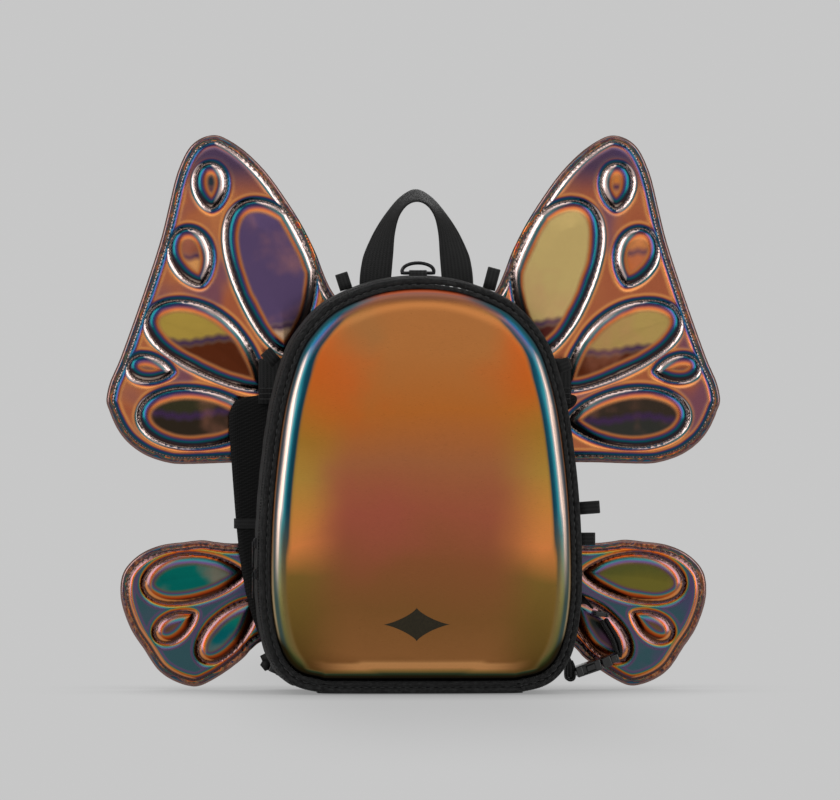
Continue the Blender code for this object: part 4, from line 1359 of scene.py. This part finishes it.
def build_zip():
    """Sliders and pulls."""
    for name in ("upper", "lower"):
        for kind, part in (("slider", "body"), ("pull", "tab")):
            node = f"zip_{kind}_{name}"
            low, high, mid = box_of(node)
            size = (high - low) / MM
            if kind == "slider":
                blocks = (((1.0, 7.0, 9.0), (0.8, 0, 0)), ((1.0, 5.6, 8.2), (-0.2, 0, 0)),
                          ((1.6, 1.6, 5.5), (-0.9, 0, 0.6)))
                bevel = 0.4 * MM
            else:
                blocks = (((0.9, size.y, size.z - 4), (0, 0, -2)),
                          ((0.9, size.y * 0.6, 4.5), (0, 0, size.z / 2 - 2.2)))
                bevel = 0.35 * MM
            made = solid(f"{node}_{part}", blocks, Matrix.Translation(mid), LOOKS["metal"], bevel)
            place(made, node, "metal", node)


# ---- Stage --------------------------------------------------------------------------------------

def build_stage():
    """Pale floor with a painted shadow, soft lights and the camera."""
    world = bpy.data.worlds.new("studio")
    bpy.context.scene.world = world
    world.use_nodes = True
    nodes, links = world.node_tree.nodes, world.node_tree.links
    background = nodes["Background"]
    ray = nodes.new("ShaderNodeLightPath")
    pick = nodes.new("ShaderNodeMix")
    pick.inputs[2].default_value = BACKDROP
    pick.inputs[3].default_value = REFLECTED
    links.new(ray.outputs["Is Glossy Ray"], pick.inputs[0])
    background.inputs[0].default_value = (1, 1, 1, 1)
    links.new(pick.outputs[0], background.inputs[1])
    floor = Look("floor", 1.0)
    x, y, _ = floor.parts(floor.place)
    # Painted shadow on the glowing floor: a soft dark streak under and in front of the pack, and painted
    # shade from ambient occlusion where the pack stands on it
    shadow_across, deep = 1.0 - abs(x).step(0.04, 0.20), 1.0 - abs(y).step(0.05, 1.4)
    contact = floor.node("ShaderNodeAmbientOcclusion", {0: (1, 1, 1, 1), 1: 0.12}, samples=8).outputs["AO"]
    shade = (1.0 - shadow_across * deep * 0.15) * (Value(floor, contact) * 0.5 + 0.5) * BACKDROP
    glow = floor.node("ShaderNodeEmission", {0: (1, 1, 1, 1), 1: shade})
    floor.tree.links.new(glow.outputs[0], floor.tree.nodes["Material Output"].inputs[0])
    bpy.ops.mesh.primitive_circle_add(vertices=64, radius=40, fill_type="NGON", location=(0, 0, -0.2 * MM))
    ground = bpy.context.object
    ground.name = "floor"
    ground.data.materials.append(floor.mat)
    bpy.context.scene.view_settings.view_transform = "Standard"
    aim = Vector((0, 0, 0.2))
    for name, spot, size, power in (
        ("key_left", (-1.5, -1.3, 0.9), (0.9, 1.9), 14), ("key_right", (1.5, -1.3, 0.9), (0.9, 1.9), 12),
        ("top", (0, -0.5, 2.2), (1.6, 1.2), 5), ("front", (0.3, -3.2, 1.5), (2.6, 1.4), 9),
        ("back", (0.4, 2.6, 1.6), (1.8, 1.2), 24),
    ):
        light = bpy.data.lights.new(name, "AREA")
        light.shape = "RECTANGLE"
        light.size, light.size_y = size
        light.energy = power
        lamp = link(bpy.data.objects.new(name, light))
        lamp.location = spot
        lamp.rotation_euler = (aim - Vector(spot)).to_track_quat("-Z", "Y").to_euler()
    camera = bpy.data.cameras.new("camera")
    camera.sensor_width = 36
    camera.lens = 36 * CAMERA_DISTANCE / (840 * PIXEL_AT_TARGET)
    camera.clip_end = 100
    eye = link(bpy.data.objects.new("camera", camera))
    az, el = radians(CAMERA_AZIMUTH), radians(CAMERA_ELEVATION)
    away = Vector((sin(az) * cos(el), -cos(az) * cos(el), sin(el)))
    eye.location = CAMERA_TARGET + away * CAMERA_DISTANCE
    eye.rotation_euler = (-away).to_track_quat("-Z", "Y").to_euler()
    bpy.context.scene.camera = eye


build_stage()
for rank in ("upper", "lower"):
    for side in ("left", "right"):
        build_wing(rank, side)

build_front()
build_body()
build_handle()
build_loops()
build_straps()
build_buckles()
build_right_webbing()
build_left_webbing()
build_tail()
build_back()
build_zip()
paint_nodes()
